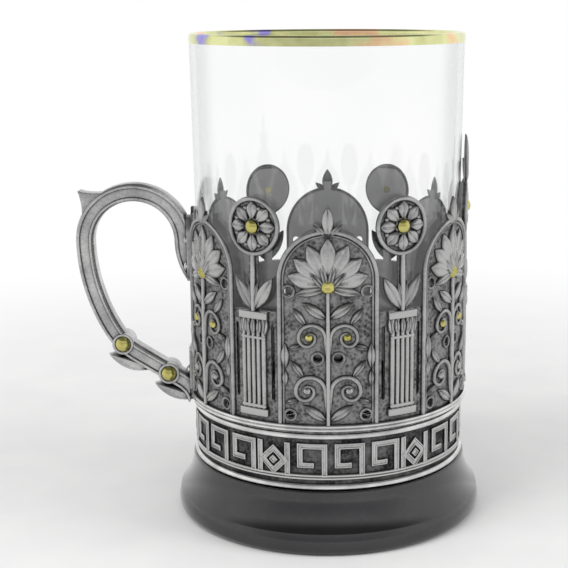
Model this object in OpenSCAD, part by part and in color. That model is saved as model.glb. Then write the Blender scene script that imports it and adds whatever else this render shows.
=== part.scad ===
// Tea glass in a pierced metal holder with a loop handle.
// The axis of the glass is Z, the table is z = 0 and the handle points along -X.

/* [Tea glass] */
// Height of the glass from its foot to its lip
glass_h = 105; // [92:0.5:115]
// Outer radius of the glass at its lip
glass_top_r = 33.7; // [31:0.1:36]
// Outer radius of the glass just above its base corner
glass_base_r = 32.4; // [30:0.1:33.4]
// Wall of the glass
glass_wall = 1.5; // [1:0.1:2.5]
// Thickness of the bottom of the glass
glass_bottom = 5; // [3.5:0.25:9]
// Outer corner radius at the base of the glass
glass_corner_r = 3.2; // [2:0.1:5]
// Depth of the hollow under the glass
glass_kick = 0.9; // [0.4:0.1:1.5]
// Width of the ring that the glass stands on
glass_stand_w = 5; // [3:0.5:8]
// Height of the gilt band on the lip
gilt_h = 2.4; // [1.8:0.1:4]
// Thickness of the gilt band
gilt_t = 0.2; // [0.1:0.05:0.4]
// Play between the glass and the holder, on the radius
glass_gap = 0.7; // [0.4:0.05:1.2]

/* [Foot] */
// Height of the foot
foot_h = 14.8; // [12:0.1:20]
// Distance that the foot's rim stands out from the drum
foot_flare = 5.2; // [4:0.1:9]
// Height of the upright rim of the foot
foot_rim_h = 5; // [3:0.1:7]
// Radius of the rounding under the rim
foot_round = 1.2; // [0.6:0.1:1.6]
// Radius of the hollow curve of the skirt
foot_cove_r = 26; // [18:1:60]
// Metal thickness of the foot
foot_wall = 1.6; // [1.2:0.1:2.4]
// Step of the foot outside the drum
foot_step = 1.2; // [0.9:0.1:2]

/* [Drum] */
// Height of the drum that carries the frieze
drum_h = 14.2; // [12:0.1:20]
// Metal thickness of the drum
drum_wall = 0.9; // [0.7:0.05:1.4]
// Height of the raised frieze
frieze_h = 9; // [7:0.1:9.6]
// Width of the drum's upper edge under the sleeve
drum_seat = 0.2; // [0.1:0.05:0.4]
// Relief of the frieze
frieze_relief = 0.5; // [0.3:0.05:0.8]
// Width of the strokes of the frieze
frieze_stroke = 1.35; // [1:0.05:1.5]
// Gap between the keys
key_gap = 0.5; // [0.3:0.05:0.8]
// Count of cells round the drum, a multiple of four
frieze_cells = 24; // [20:4:28]
// Section radius of the two fillet wires
fillet_r = 0.8; // [0.5:0.05:1]
// Thickness of the floor plate
floor_t = 0.6; // [0.5:0.05:1.2]

/* [Centre fastening] */
// Radius of the screw's shank
screw_r = 2; // [1.5:0.1:2.5]
// Radius of the screw's countersunk head
screw_head_r = 4; // [3.6:0.1:4.6]
// Height of the countersunk head
screw_head_h = 1.5; // [1.2:0.1:1.8]
// Length of the shank below the nut
screw_tail = 1.4; // [0.5:0.1:2]
// Width of the driver slot
screw_slot_w = 1; // [0.7:0.1:1.4]
// Depth of the driver slot
screw_slot_h = 0.7; // [0.4:0.1:0.9]
// Radius of the clamp washer
washer_r = 9; // [6:0.5:14]
// Thickness of the clamp washer
washer_t = 1.2; // [0.8:0.1:2]
// Width of the nut across its flats
nut_af = 7; // [6.5:0.1:9]
// Height of the nut
nut_h = 3.2; // [2.4:0.1:4]

/* [Sleeve] */
// Metal thickness of the sleeve
sleeve_wall = 0.8; // [0.6:0.05:1.2]
// Height of the relief above the wall
relief = 0.65; // [0.4:0.05:0.9]
// Height of the top of the rail above the bottom of the sleeve
rail_h = 2.2; // [1.5:0.1:3]
// Height of the plain strip below the rail
rail_foot = 0.6; // [0.3:0.1:1]
// Height of the arch centres above the bottom of the sleeve
arch_z = 36.5; // [34:0.5:38]
// Distance from the side of an arch to the middle of its pillar
arch_space = 5.5; // [5.3:0.1:6.2]
// Width of the arch moulding
arch_w = 1.4; // [1:0.1:1.8]
// Height of the medallion centres above the bottom of the sleeve
medal_z = 48.5; // [47:0.5:52]
// Outer radius of each medallion
medal_r = 7; // [6:0.1:7.5]
// Width of the medallion ring
medal_w = 1.3; // [1:0.1:1.7]
// Count of petals in a rosette
petal_count = 8; // [6:1:10]
// Width of a petal
petal_w = 1.9; // [1.4:0.1:2.2]
// Radius of the gilt boss of a medallion
boss_r = 1.6; // [1.2:0.05:1.9]
// Radius of the boss's shank
boss_shank_r = 0.9; // [0.7:0.05:1.1]
// Height of the boss's dome
boss_h = 0.9; // [0.6:0.05:1.2]
// Height of the finial opposite the handle
finial_h = 11; // [7:0.5:14]
// Width of a finial leaf
finial_w = 3.2; // [2.4:0.1:4]

/* [Panels] */
// Width of the stems and scrolls
stroke = 1.2; // [0.9:0.05:1.5]
// Radius of the lower scrolls
scroll_low_r = 4.1; // [3.4:0.1:4.2]
// Radius of the upper scrolls
scroll_top_r = 3.7; // [3:0.1:4]
// Height of the lower scroll centres above the bottom of the sleeve
scroll_low_z = 10.2; // [9:0.1:11.5]
// Height of the upper scroll centres above the bottom of the sleeve
scroll_top_z = 21; // [20:0.1:22]
// Radius of the berry at the end of a scroll
berry_r = 1; // [0.7:0.05:1.2]
// Width of a palmette leaf
palm_w = 2.5; // [1.8:0.1:2.8]
// Radius of the boss under a palmette
palm_boss_r = 1.7; // [1.2:0.1:2.2]
// Length of a panel leaf
leaf_l = 6.4; // [5:0.1:7.5]
// Width of a panel leaf
leaf_w = 2.2; // [1.6:0.1:2.6]
// Width of the leaf on top of each arch
crest_w = 2.7; // [2:0.1:3.2]
// Radius of the round piercings
hole_r = 1.05; // [0.7:0.05:1.3]
// Width of the slots beside the pillars
slot_w = 0.9; // [0.7:0.05:1.1]

/* [Pillars] */
// Width of the block at the foot and head of a pillar
pillar_w = 7.6; // [6:0.1:8]
// Height of each of those blocks
block_h = 1.9; // [1.2:0.1:2.4]
// Height of the pillar with its blocks
pillar_h = 26.5; // [24:0.1:28]
// Width of a pillar rib
rib_w = 1.15; // [0.8:0.05:1.3]
// Distance between the ribs' middles
rib_pitch = 2.05; // [1.8:0.05:2.3]
// Length of the two leaves under a medallion
calyx_l = 9.4; // [7:0.1:10]
// Width of those leaves
calyx_w = 3; // [2:0.1:3.4]
// Slant of those leaves from upright, in degrees
calyx_tilt = 32; // [25:1:38]

/* [Handle] */
// Distance of the loop's centre from the sleeve
loop_reach = 14.4; // [12.8:0.1:17.6]
// Height of the loop's centre
loop_z = 69; // [64:0.5:72]
// Radius of the loop's upper bend, on the middle line
loop_r = 12.4; // [11:0.1:14]
// Radius of the long bend down the back of the loop
back_r = 46; // [40:1:60]
// Turn of that bend, in degrees
back_turn = 30; // [26:1:32]
// Radius of the bend that leads into the lower arm
heel_r = 18; // [14:0.5:24]
// Turn of that bend, in degrees
heel_turn = 28; // [24:1:30]
// Straight length of the lower arm
arm_l = 13.3; // [11:0.1:15]
// Radius of the curl that ends the lower arm
toe_r = 8; // [7:0.1:10]
// Turn of that curl, in degrees
toe_turn = 48; // [40:1:52]
// Radius of the curl that ends the upper bend
tail_r = 16; // [14:0.5:20]
// Turn of that curl, in degrees
tail_turn = 36; // [30:1:40]
// Thickness of the strap, across the loop
strap_t = 4.6; // [3.8:0.1:5.4]
// Width of the strap
strap_w = 6; // [5:0.1:6.2]
// Height of the two beads along each side of the strap
bead_h = 0.5; // [0.3:0.05:0.8]
// Width of a bead
bead_w = 0.8; // [0.6:0.05:1]
// Distance of a bead from the edge of the strap
bead_edge = 0.45; // [0.3:0.05:0.6]
// Reach of the thumb spur beyond the loop's middle line
spur_l = 6.4; // [5:0.1:8]
// Direction of the spur from the loop's centre, in degrees
spur_turn = 43; // [38:1:50]
// Half the angle over which the spur leaves the loop, in degrees
spur_spread = 36; // [28:1:40]
// Radius of the hollow curves of the spur
spur_cove_r = 14; // [12:0.5:24]
// Thickness of the thumb spur along Y
spur_w = 4.6; // [3.5:0.1:5]
// Radius of the two gilt studs in the lower arm
stud_r = 1.9; // [1.5:0.05:2.1]
// Radius of the studs' shanks
stud_shank_r = 1; // [0.8:0.05:1.2]
// Height of the studs' domes
stud_dome_h = 1; // [0.6:0.05:1.3]
// Depth that a stud's head is let into the knuckle
stud_sink = 0.5; // [0.3:0.05:0.8]
// Metal round a stud
knuckle_wall = 0.8; // [0.5:0.05:1]
// Height of a knuckle above the side of the strap
knuckle_rise = 0.15; // [0.1:0.05:0.4]
// Length of the leaves under the lower arm
arm_leaf_l = 10.8; // [8:0.1:12]
// Width of those leaves
arm_leaf_w = 3.2; // [2.4:0.1:3.8]
// Thickness of those leaves along Y
arm_leaf_t = 4.4; // [3:0.1:5]

/* [Handle plates] */
// Thickness of the plates under the handle
plate_t = 1.2; // [0.9:0.05:1.6]
// Width of a plate
plate_w = 11.4; // [11:0.1:11.6]
// Height of the upper plate
top_plate_h = 17; // [15:0.1:18]
// Height of the lower end of the upper plate above the bottom of the sleeve
top_plate_z = 29.4; // [28.5:0.1:30]
// Height of the lower plate
low_plate_h = 10; // [8:0.1:12]
// Height of the lower end of the lower plate above the bottom of the sleeve
low_plate_z = 2.4; // [2.3:0.1:4]
// Radius of a rivet's shank
rivet_r = 0.7; // [0.6:0.05:0.8]
// Radius of a rivet's round head
rivet_head_r = 1.15; // [1:0.05:1.2]
// Height of a rivet's round head
rivet_head_h = 0.6; // [0.4:0.05:0.8]
// Distance of a rivet from the middle of its plate
rivet_y = 4.4; // [4.3:0.05:4.5]
// Distance between the two rows of rivets in the upper plate
rivet_pitch = 6.6; // [5:0.1:7.5]
// Rim of the sleeve's tab round the upper plate
tab_rim = 0.9; // [0.85:0.05:1.1]

/* [Hidden] */
$fn = 96;
// Play between two pieces that are soldered or riveted together
seat_gap = 0.05;
// Play of a shank in its hole
hole_gap = 0.08;
// Overrun of every cut
over = 0.5;
// Count of arches round the sleeve
bays = 6;
bay_turn = 360 / bays;

// Heights
floor_z = foot_h + floor_t;
drum_top = foot_h + drum_h;
sleeve_z = drum_top + seat_gap;
rim_z = floor_z + glass_h;
fillet_low_z = foot_h + seat_gap + fillet_r;
fillet_top_z = drum_top - fillet_r;
frieze_z = (fillet_low_z + fillet_top_z) / 2;
wall_top = sleeve_z + medal_z + medal_r - medal_w;

// Radii that follow the glass
taper = (glass_top_r - glass_base_r) / (glass_h - glass_corner_r);
function glass_r(z) = glass_base_r + taper * (z - floor_z - glass_corner_r);
sleeve_in = max(glass_r(drum_top), glass_r(wall_top)) + glass_gap / 2;
sleeve_out = sleeve_in + sleeve_wall;
drum_glass_r = max(glass_base_r, glass_r(drum_top)) + glass_gap / 2;
drum_in = max(drum_glass_r, sleeve_in + drum_seat - drum_wall);
drum_out = drum_in + drum_wall;
foot_r = drum_out + foot_flare;
relief_in = sleeve_out + seat_gap;
relief_out = relief_in + relief;
arch_r = relief_out * sin(bay_turn / 2) - arch_space;
cut_from = sleeve_in * cos(bay_turn / 2);
cut_to = relief_out + over;

// Unit shapes for the ornament, drawn with x along the wall and y upward
module leaf(l, w) {
    r = (l * l + w * w) / (4 * w);
    intersection() {
        translate([w / 2 - r, l / 2]) circle(r = r);
        translate([r - w / 2, l / 2]) circle(r = r);
    }
}

module ring(r, w) {
    difference() {
        circle(r = r);
        circle(r = r - w);
    }
}

module bar(w, z0, z1) {
    translate([-w / 2, z0]) square([w, z1 - z0]);
}

module upper_half(r) {
    translate([-r, 0]) square([2 * r, r]);
}

module half_ring(r, w) {
    intersection() {
        ring(r + w / 2, w);
        upper_half(r + w);
    }
}

// Each half turn of a scroll is this share of the one before
scroll_share = 0.67;
function turn_r(r, i) = r * pow(scroll_share, i);
function turn_x(r, i) = i == 0 ? 0
    : turn_x(r, i - 1) + (i % 2 == 0 ? 1 : -1) * (turn_r(r, i - 1) - turn_r(r, i));

// A scroll that leaves the stem on its right, turns over the top and curls in to a berry
module scroll(r) {
    for (i = [0:2]) translate([turn_x(r, i), 0])
        mirror([0, i % 2]) half_ring(turn_r(r, i), stroke);
    translate([turn_x(r, 2) - turn_r(r, 2) + berry_r / 2, 0]) circle(r = berry_r);
}

// Carries a flat shape out through the wall at an angle and a height above the sleeve's bottom
module on_wall(angle, z) {
    rotate([0, 0, angle]) translate([cut_from, 0, sleeve_z + z]) rotate([90, 0, 90])
        linear_extrude(height = cut_to - cut_from) children();
}

// A plain tube between two radii and two heights
module tube(r0, r1, z0, z1) {
    rotate_extrude() translate([r0, z0]) square([r1 - r0, z1 - z0]);
}

// Foot
skirt_top_r = drum_out + foot_step;
function cove_centre(a, b, r) =
    let (d = b - a, l = norm(d), k = sqrt(r * r - l * l / 4) / l)
    (a + b) / 2 + k * [-d[1], d[0]];

module skirt(inset) {
    top = [skirt_top_r - inset, foot_h - inset];
    low = [foot_r - inset, foot_rim_h];
    difference() {
        polygon([[0, 0], [low[0], 0], low, [low[0], top[1]], [0, top[1]]]);
        translate(cove_centre(top, low, foot_cove_r)) circle(r = foot_cove_r, $fn = 4 * $fn);
    }
}

module foot() {
    color([0.36, 0.37, 0.38]) difference() {
        rotate_extrude() difference() {
            skirt(0);
            translate([0, -over]) square([foot_r - foot_wall, foot_rim_h + over]);
            intersection() {
                skirt(foot_wall);
                translate([0, foot_rim_h]) square([foot_r, foot_h]);
            }
            difference() {
                translate([foot_r - foot_round, -over]) square([foot_round + over, foot_round + over]);
                translate([foot_r - foot_round, foot_round]) circle(r = foot_round);
            }
        }
        screw_hole();
    }
}

// Drum with its frieze
frieze_turn = 360 / frieze_cells;
frieze_pitch = drum_out * 2 * sin(frieze_turn / 2);

// One turn of a running key, which stands on the ring round the drum
module key_cell() {
    w = frieze_pitch - key_gap;
    h = frieze_h;
    s = frieze_stroke;
    translate([-w / 2, -h / 2]) {
        translate([w - s, s / 2]) square([s, h - s / 2]);
        translate([w * key_in_share, h - s]) square([w * (1 - key_in_share), s]);
        translate([w * key_in_share, h * key_low_share]) square([s, h * (1 - key_low_share)]);
        translate([w * key_in_share, h * key_low_share]) square([w * key_hook_share, s]);
    }
}
key_in_share = 0.14;
key_low_share = 0.33;
key_hook_share = 0.48;

// A lozenge between two uprights
module lozenge_cell() {
    s = frieze_stroke;
    r = (frieze_pitch - s) / 2;
    difference() {
        rotate(45) square(r * sqrt(2), center = true);
        rotate(45) square(r * sqrt(2) - 2 * s, center = true);
    }
    rotate(45) square(s, center = true);
    for (side = [-1, 1]) translate([side * (frieze_pitch - s - key_gap) / 2, 0])
        bar(s, (s - frieze_h) / 2, frieze_h / 2);
}

module drum() {
    color([0.5, 0.5, 0.51]) {
        rotate_extrude() {
            translate([drum_in, foot_h]) square([drum_wall, drum_h]);
            translate([drum_in, frieze_z - frieze_h / 2])
                square([drum_wall + frieze_relief, frieze_stroke]);
        }
        intersection() {
            rotate_extrude() translate([drum_out - drum_wall / 2, foot_h])
                square([drum_wall / 2 + frieze_relief, drum_h]);
            for (i = [0:frieze_cells - 1]) rotate([0, 0, (i + 0.5) * frieze_turn])
                translate([drum_in, 0, frieze_z]) rotate([90, 0, 90])
                    linear_extrude(height = drum_wall + frieze_relief + over)
                        if (i % 4 == 0) lozenge_cell(); else key_cell();
        }
    }
}

module fillet_wire(z) {
    rotate_extrude() difference() {
        translate([drum_out + seat_gap, z]) circle(r = fillet_r);
        translate([drum_out + seat_gap - 2 * fillet_r, z - 2 * fillet_r])
            square([2 * fillet_r, 4 * fillet_r]);
    }
}

module lower_fillet() {
    color([0.78, 0.78, 0.77]) fillet_wire(fillet_low_z);
}

module upper_fillet() {
    color([0.78, 0.78, 0.77]) fillet_wire(fillet_top_z);
}

// Floor and its fastening
module screw_hole() {
    translate([0, 0, floor_z - screw_head_h]) {
        cylinder(h = screw_head_h, r1 = screw_r + hole_gap, r2 = screw_head_r + hole_gap);
        translate([0, 0, screw_head_h]) cylinder(h = over, r = screw_head_r + hole_gap);
        translate([0, 0, -foot_h]) cylinder(h = foot_h, r = screw_r + hole_gap);
    }
}

module floor_plate() {
    color([0.55, 0.55, 0.56]) difference() {
        translate([0, 0, foot_h]) cylinder(h = floor_t, r = drum_in - hole_gap);
        screw_hole();
    }
}

deck_low = foot_h - foot_wall;
nut_low = deck_low - washer_t - nut_h;

module centre_screw() {
    color([0.7, 0.66, 0.5]) difference() {
        union() {
            translate([0, 0, floor_z - screw_head_h])
                cylinder(h = screw_head_h, r1 = screw_r, r2 = screw_head_r);
            translate([0, 0, nut_low - screw_tail])
                cylinder(h = floor_z - screw_head_h - nut_low + screw_tail, r = screw_r);
        }
        translate([-screw_head_r - over, -screw_slot_w / 2, floor_z - screw_slot_h])
            cube([2 * (screw_head_r + over), screw_slot_w, screw_slot_h + over]);
    }
}

module clamp_washer() {
    color([0.7, 0.66, 0.5]) translate([0, 0, deck_low - washer_t]) difference() {
        cylinder(h = washer_t, r = washer_r);
        translate([0, 0, -over]) cylinder(h = washer_t + 2 * over, r = screw_r + hole_gap);
    }
}

module clamp_nut() {
    color([0.7, 0.66, 0.5]) translate([0, 0, nut_low]) difference() {
        cylinder(h = nut_h, r = nut_af / sqrt(3), $fn = 6);
        translate([0, 0, -over]) cylinder(h = nut_h + 2 * over, r = screw_r + hole_gap);
    }
}

// Ornament of the sleeve
// Angles and lengths of the palmette leaves either side of the middle one
palm_turns = [0, 27, 54, 80];
palm_shares = [1, 0.9, 0.85, 0.8];
// Places of the panel leaves, as shares of the arch radius and of the arch height
side_leaf_x_share = 0.82;
side_leaf_z_share = 0.42;
stem_leaf_z_shares = [0.08, 0.72];
stem_leaf_tilt = 58;

module palmette() {
    circle(r = palm_boss_r);
    for (i = [0:3]) for (side = [-1, 1]) if (i > 0 || side > 0)
        rotate(side * palm_turns[i]) translate([0, palm_boss_r / 2])
            leaf((arch_r - arch_w / 2 - palm_boss_r / 2) * palm_shares[i], palm_w);
}

module arch_relief() {
    translate([0, arch_z]) {
        half_ring(arch_r - arch_w / 2, arch_w);
        palmette();
        translate([0, arch_r - arch_w]) leaf(leaf_l, crest_w);
    }
    for (side = [-1, 1]) {
        translate([side * (arch_r - arch_w / 2), 0]) bar(arch_w, rail_h + seat_gap, arch_z);
        translate([side * arch_r * side_leaf_x_share, arch_z * side_leaf_z_share]) leaf(leaf_l, leaf_w);
        for (z = stem_leaf_z_shares) translate([0, arch_z * z])
            rotate(-side * stem_leaf_tilt) leaf(leaf_l, leaf_w);
    }
    bar(stroke, rail_h + seat_gap, arch_z);
    for (side = [0, 1]) mirror([side, 0]) {
        translate([-scroll_low_r, scroll_low_z]) scroll(scroll_low_r);
        translate([-scroll_top_r, scroll_top_z]) scroll(scroll_top_r);
    }
}

pillar_top = rail_h + pillar_h;
module pillar_relief() {
    bar(pillar_w, pillar_top - pillar_run, pillar_top - pillar_run + block_h);
    for (i = [-1:1]) translate([i * rib_pitch, 0])
        bar(rib_w, pillar_top - pillar_run + block_h / 2, pillar_top - block_h / 2);
    bar(pillar_w, pillar_top - block_h, pillar_top);
}
pillar_run = pillar_h - stroke;

module medal_relief() {
    translate([0, medal_z]) {
        ring(medal_r, medal_w);
        circle(r = boss_r);
        for (i = [0:petal_count - 1]) rotate(i * 360 / petal_count)
            translate([0, boss_r / 2]) leaf(medal_r - medal_w / 2 - boss_r / 2, petal_w);
    }
    bar(stroke, pillar_top + seat_gap, medal_z - medal_r + medal_w / 2);
    for (side = [-1, 1]) translate([0, pillar_top + seat_gap])
        rotate(side * calyx_tilt) leaf(calyx_l, calyx_w);
}

module finial_relief() {
    translate([0, medal_z + medal_r - medal_w]) {
        leaf(finial_h + medal_w, finial_w);
        for (side = [-1, 1]) rotate(side * calyx_tilt)
            leaf(finial_h * finial_side_share, finial_w * finial_slim_share);
    }
}
finial_side_share = 0.62;
finial_slim_share = 0.8;

// Metal behind an arch
module arch_ground() {
    translate([0, arch_z]) circle(r = arch_r - arch_w / 2);
    bar(2 * arch_r - arch_w, 0, arch_z);
}

// Metal behind a medallion and its stem
module medal_ground() {
    translate([0, medal_z]) circle(r = medal_r - medal_w / 2);
    bar(2 * stroke, 0, medal_z);
}

// Tab that carries the upper plate
tab_r = plate_w / 2 + tab_rim;
tab_z = top_plate_z + top_plate_h - plate_w / 2;
module tab_ground() {
    polygon([
        [-tab_r, 0], [tab_r, 0], [tab_r, tab_z], [tab_r / 2, tab_z + tab_r],
        [-tab_r / 2, tab_z + tab_r], [-tab_r, tab_z]
    ]);
}

// Open sky between an arch and a medallion, drawn about the line halfway between them
sky_x = sleeve_out * sin(bay_turn / 4);
sky_w = cut_to * sin(bay_turn / 4) + sleeve_wall / 4;
module sky(side, tab) {
    mirror([side, 0]) difference() {
        translate([-sky_w, pillar_top])
            square([2 * sky_w, wall_top - sleeve_z - pillar_top + over]);
        translate([sky_x, 0]) arch_ground();
        translate([-sky_x, 0]) if (tab) tab_ground(); else medal_ground();
        for (x = tab ? [-sky_x, sky_x] : [sky_x]) translate([x, 0])
            bar(2 * stroke, 0, wall_top - sleeve_z + 2 * over);
    }
}

// Ends the strips that stand up behind the crest leaves and on the tab
module strip_end(z) {
    bar(4 * stroke, z, wall_top - sleeve_z + 2 * over);
}

// Places of the piercings, as shares of the arch radius and of the arch height
hole_shares = [[0.76, 0.93], [0.74, 0.12], [0.2, 0.5]];
slot_turn_share = 0.365;

module slot(w, z0, z1) {
    bar(w, z0, z1);
    for (z = [z0, z1]) translate([0, z]) circle(r = w / 2);
}

module piercings() {
    for (i = [0:bays - 1]) {
        angle = (i + 0.5) * bay_turn;
        on_wall(angle, 0) for (side = [-1, 1]) for (h = hole_shares)
            translate([side * arch_r * h[0], arch_z * h[1]]) circle(r = hole_r);
        for (side = [-1, 1]) on_wall(angle + side * bay_turn * slot_turn_share, 0)
            slot(slot_w, rail_h + 3 * block_h, pillar_top - 2 * block_h);
    }
}

module sleeve() {
    color([0.45, 0.46, 0.47]) difference() {
        rotate_extrude() {
            translate([sleeve_in, sleeve_z]) square([sleeve_wall, wall_top - sleeve_z]);
            translate([sleeve_in, sleeve_z + rail_foot]) square([relief_out - sleeve_in, rail_h - rail_foot]);
        }
        for (i = [0:bays - 1]) for (side = [0, 1])
            on_wall((i + 0.25 + side / 2) * bay_turn, 0) sky(side, i + side == bays / 2);
        for (i = [0:bays - 1]) on_wall((i + 0.5) * bay_turn, 0)
            strip_end(arch_z + arch_r + leaf_l / 4);
        on_wall(180, 0) strip_end(tab_z + tab_r + stroke);
        piercings();
        rivet_rows(top_plate_rows) rivet_hole();
        rivet_rows(low_plate_rows) rivet_hole();
        on_medals() boss_hole();
    }
}

// Bends a flat ornament onto the wall as one casting
module casting(angle, top) {
    intersection() {
        tube(relief_in, relief_out, sleeve_z, sleeve_z + top + over);
        on_wall(angle, 0) children();
    }
}

module arch_panels() {
    color([0.66, 0.66, 0.65]) for (i = [0:bays - 1])
        casting((i + 0.5) * bay_turn, arch_z + arch_r - arch_w + leaf_l) arch_relief();
}

module pillars() {
    color([0.62, 0.62, 0.61]) for (i = [0:bays - 1]) if (i != bays / 2)
        casting(i * bay_turn, pillar_top) pillar_relief();
}

module rosettes() {
    color([0.68, 0.68, 0.67]) difference() {
        for (i = [0:bays - 1]) if (i != bays / 2)
            casting(i * bay_turn, medal_z + medal_r + finial_h) {
                medal_relief();
                if (i == 0) finial_relief();
            }
        on_medals() boss_hole();
    }
}

// Places what lies along +X at the middle of each medallion
module on_medals() {
    for (i = [0:bays - 1]) if (i != bays / 2)
        rotate([0, 0, i * bay_turn]) translate([0, 0, sleeve_z + medal_z]) rotate([0, 90, 0]) children();
}

// A cap of a ball, with its flat side on z = 0
module dome(r, h) {
    ball = (r * r + h * h) / (2 * h);
    rotate_extrude() intersection() {
        translate([0, h - ball]) circle(r = ball);
        square([r, h]);
    }
}

module boss_hole() {
    translate([0, 0, sleeve_in - over]) cylinder(h = sleeve_wall + relief + 2 * over, r = boss_shank_r + hole_gap);
}

module gilt_bosses() {
    color([0.72, 0.66, 0.36]) on_medals() {
        translate([0, 0, sleeve_in + seat_gap])
            cylinder(h = relief_out - sleeve_in + boss_h / 2, r = boss_shank_r);
        translate([0, 0, relief_out + seat_gap]) dome(boss_r, boss_h);
    }
}

// Plates and rivets of the handle
plate_in = sleeve_out + seat_gap;
plate_out = plate_in + plate_t;
top_plate_rows = [tab_z - rivet_pitch, tab_z];
low_plate_rows = [low_plate_z + low_plate_h / 2];

// Places what lies along +X at each rivet, on the handle's side
module rivet_rows(rows) {
    for (z = rows) for (side = [-1, 1])
        translate([0, side * rivet_y, sleeve_z + z]) rotate([0, -90, 0]) children();
}

module rivet_hole() {
    translate([0, 0, cut_from]) cylinder(h = plate_out + over - cut_from, r = rivet_r + hole_gap);
}

module plate(z, h) {
    intersection() {
        tube(plate_in, plate_out, sleeve_z + z, sleeve_z + z + h);
        on_wall(180, 0) {
            bar(plate_w, z + plate_w / 2, z + h - plate_w / 2 + seat_gap);
            for (mid = [z + plate_w / 2, z + h - plate_w / 2])
                translate([0, mid]) circle(r = plate_w / 2);
        }
    }
}

module handle_upper_plate() {
    color([0.5, 0.5, 0.5]) difference() {
        plate(top_plate_z, top_plate_h);
        rivet_rows(top_plate_rows) rivet_hole();
    }
}

module handle_lower_plate() {
    color([0.5, 0.5, 0.5]) difference() {
        intersection() {
            tube(plate_in, plate_out, sleeve_z + low_plate_z, sleeve_z + low_plate_z + low_plate_h);
            on_wall(180, 0) bar(plate_w, low_plate_z, low_plate_z + low_plate_h);
        }
        rivet_rows(low_plate_rows) rivet_hole();
    }
}

// The plates curve away from a rivet that stands beside their middle
rivet_seat = sqrt(plate_out * plate_out - pow(rivet_y - rivet_r, 2));
rivet_back = sqrt(sleeve_in * sleeve_in - pow(rivet_y + rivet_r, 2));

module rivet() {
    translate([0, 0, rivet_back + seat_gap])
        cylinder(h = rivet_seat - rivet_back + seat_gap, r = rivet_r);
    translate([0, 0, rivet_seat + seat_gap]) dome(rivet_head_r, rivet_head_h);
}

module handle_upper_rivets() {
    color([0.6, 0.6, 0.6]) rivet_rows(top_plate_rows) rivet();
}

module handle_lower_rivets() {
    color([0.6, 0.6, 0.6]) rivet_rows(low_plate_rows) rivet();
}

// Handle, drawn with its reach along +X and turned over at the end
function polar(r, a) = r * [cos(a), sin(a)];
loop_mid = [sleeve_out + loop_reach, loop_z];
back_mid = loop_mid + [loop_r - back_r, 0];
heel_mid = back_mid + polar(back_r - heel_r, -back_turn);
arm_turn = back_turn + heel_turn;
arm_start = heel_mid + polar(heel_r, -arm_turn);
arm_run = polar(1, -90 - arm_turn);
arm_end = arm_start + arm_l * arm_run;
toe_mid = arm_end + polar(toe_r, -arm_turn);
tail_mid = loop_mid - [loop_r + tail_r, 0];
stud_arm_share = 0.72;
stud_places = [
    heel_mid + polar(heel_r, -back_turn - heel_turn / 2),
    arm_start + arm_l * stud_arm_share * arm_run
];

// A stretch of the strap bent round a centre, without so much of both its edges
module strap_arc(mid, r, from, turn, edge) {
    far = 2 * r;
    translate(mid) intersection() {
        ring(r + strap_t / 2 - edge, strap_t - 2 * edge);
        polygon([[0, 0], for (k = [0:3]) polar(far, from + turn * k / 3)]);
    }
}

module strap(edge) {
    strap_arc(tail_mid, tail_r, -tail_turn, tail_turn, edge);
    strap_arc(loop_mid, loop_r, 0, 180, edge);
    strap_arc(back_mid, back_r, -back_turn, back_turn, edge);
    strap_arc(heel_mid, heel_r, -arm_turn, heel_turn, edge);
    translate(arm_end) rotate(90 - arm_turn) translate([0, edge - strap_t / 2])
        square([arm_l, strap_t - 2 * edge]);
    strap_arc(toe_mid, toe_r, 180 - arm_turn, toe_turn, edge);
}

module in_loop_plane(t) {
    translate([0, t / 2, 0]) rotate([90, 0, 0]) linear_extrude(height = t) children();
}

spur_root_share = 0.4;
module spur() {
    root_r = loop_r + strap_t * spur_root_share;
    low = loop_mid + polar(root_r, spur_turn - spur_spread);
    top = loop_mid + polar(root_r, spur_turn + spur_spread);
    tip = loop_mid + polar(loop_r + spur_l, spur_turn);
    difference() {
        polygon([loop_mid + polar(loop_r - strap_t / 4, spur_turn), low, tip, top]);
        translate(cove_centre(top, tip, spur_cove_r)) circle(r = spur_cove_r);
        translate(cove_centre(tip, low, spur_cove_r)) circle(r = spur_cove_r);
    }
}

// Leaves under the lower arm, one from near the outer stud and one from near the toe
arm_leaf_tilt = 66;
arm_leaf_root_share = 0.4;
arm_leaf_place_shares = [0.3, 1.2];
module arm_leaves() {
    for (k = arm_leaf_place_shares)
        translate(arm_start + arm_l * k * arm_run + polar(strap_t * arm_leaf_root_share, -arm_turn))
            rotate(-arm_leaf_tilt) leaf(arm_leaf_l, arm_leaf_w);
}

module stud_at(p) {
    translate([p[0], 0, p[1]]) rotate([90, 0, 0]) children();
}

knuckle_w = strap_w + 2 * knuckle_rise;

module handle() {
    color([0.42, 0.43, 0.44]) mirror([1, 0, 0]) difference() {
        union() {
            in_loop_plane(strap_w - 2 * bead_h) strap(0);
            in_loop_plane(strap_w) difference() {
                strap(bead_edge);
                strap(bead_edge + bead_w);
            }
            in_loop_plane(spur_w) spur();
            in_loop_plane(arm_leaf_t) arm_leaves();
            for (p = stud_places) stud_at(p)
                translate([0, 0, -knuckle_w / 2]) cylinder(h = knuckle_w, r = stud_r + knuckle_wall);
        }
        cylinder(h = loop_z + loop_r, r = plate_out + seat_gap);
        for (p = stud_places) stud_at(p) {
            translate([0, 0, -strap_w]) cylinder(h = 2 * strap_w, r = stud_shank_r + hole_gap);
            for (side = [0, 1]) mirror([0, 0, side]) translate([0, 0, knuckle_w / 2 - stud_sink])
                cylinder(h = stud_sink + over, r = stud_r + hole_gap);
        }
    }
}

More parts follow.
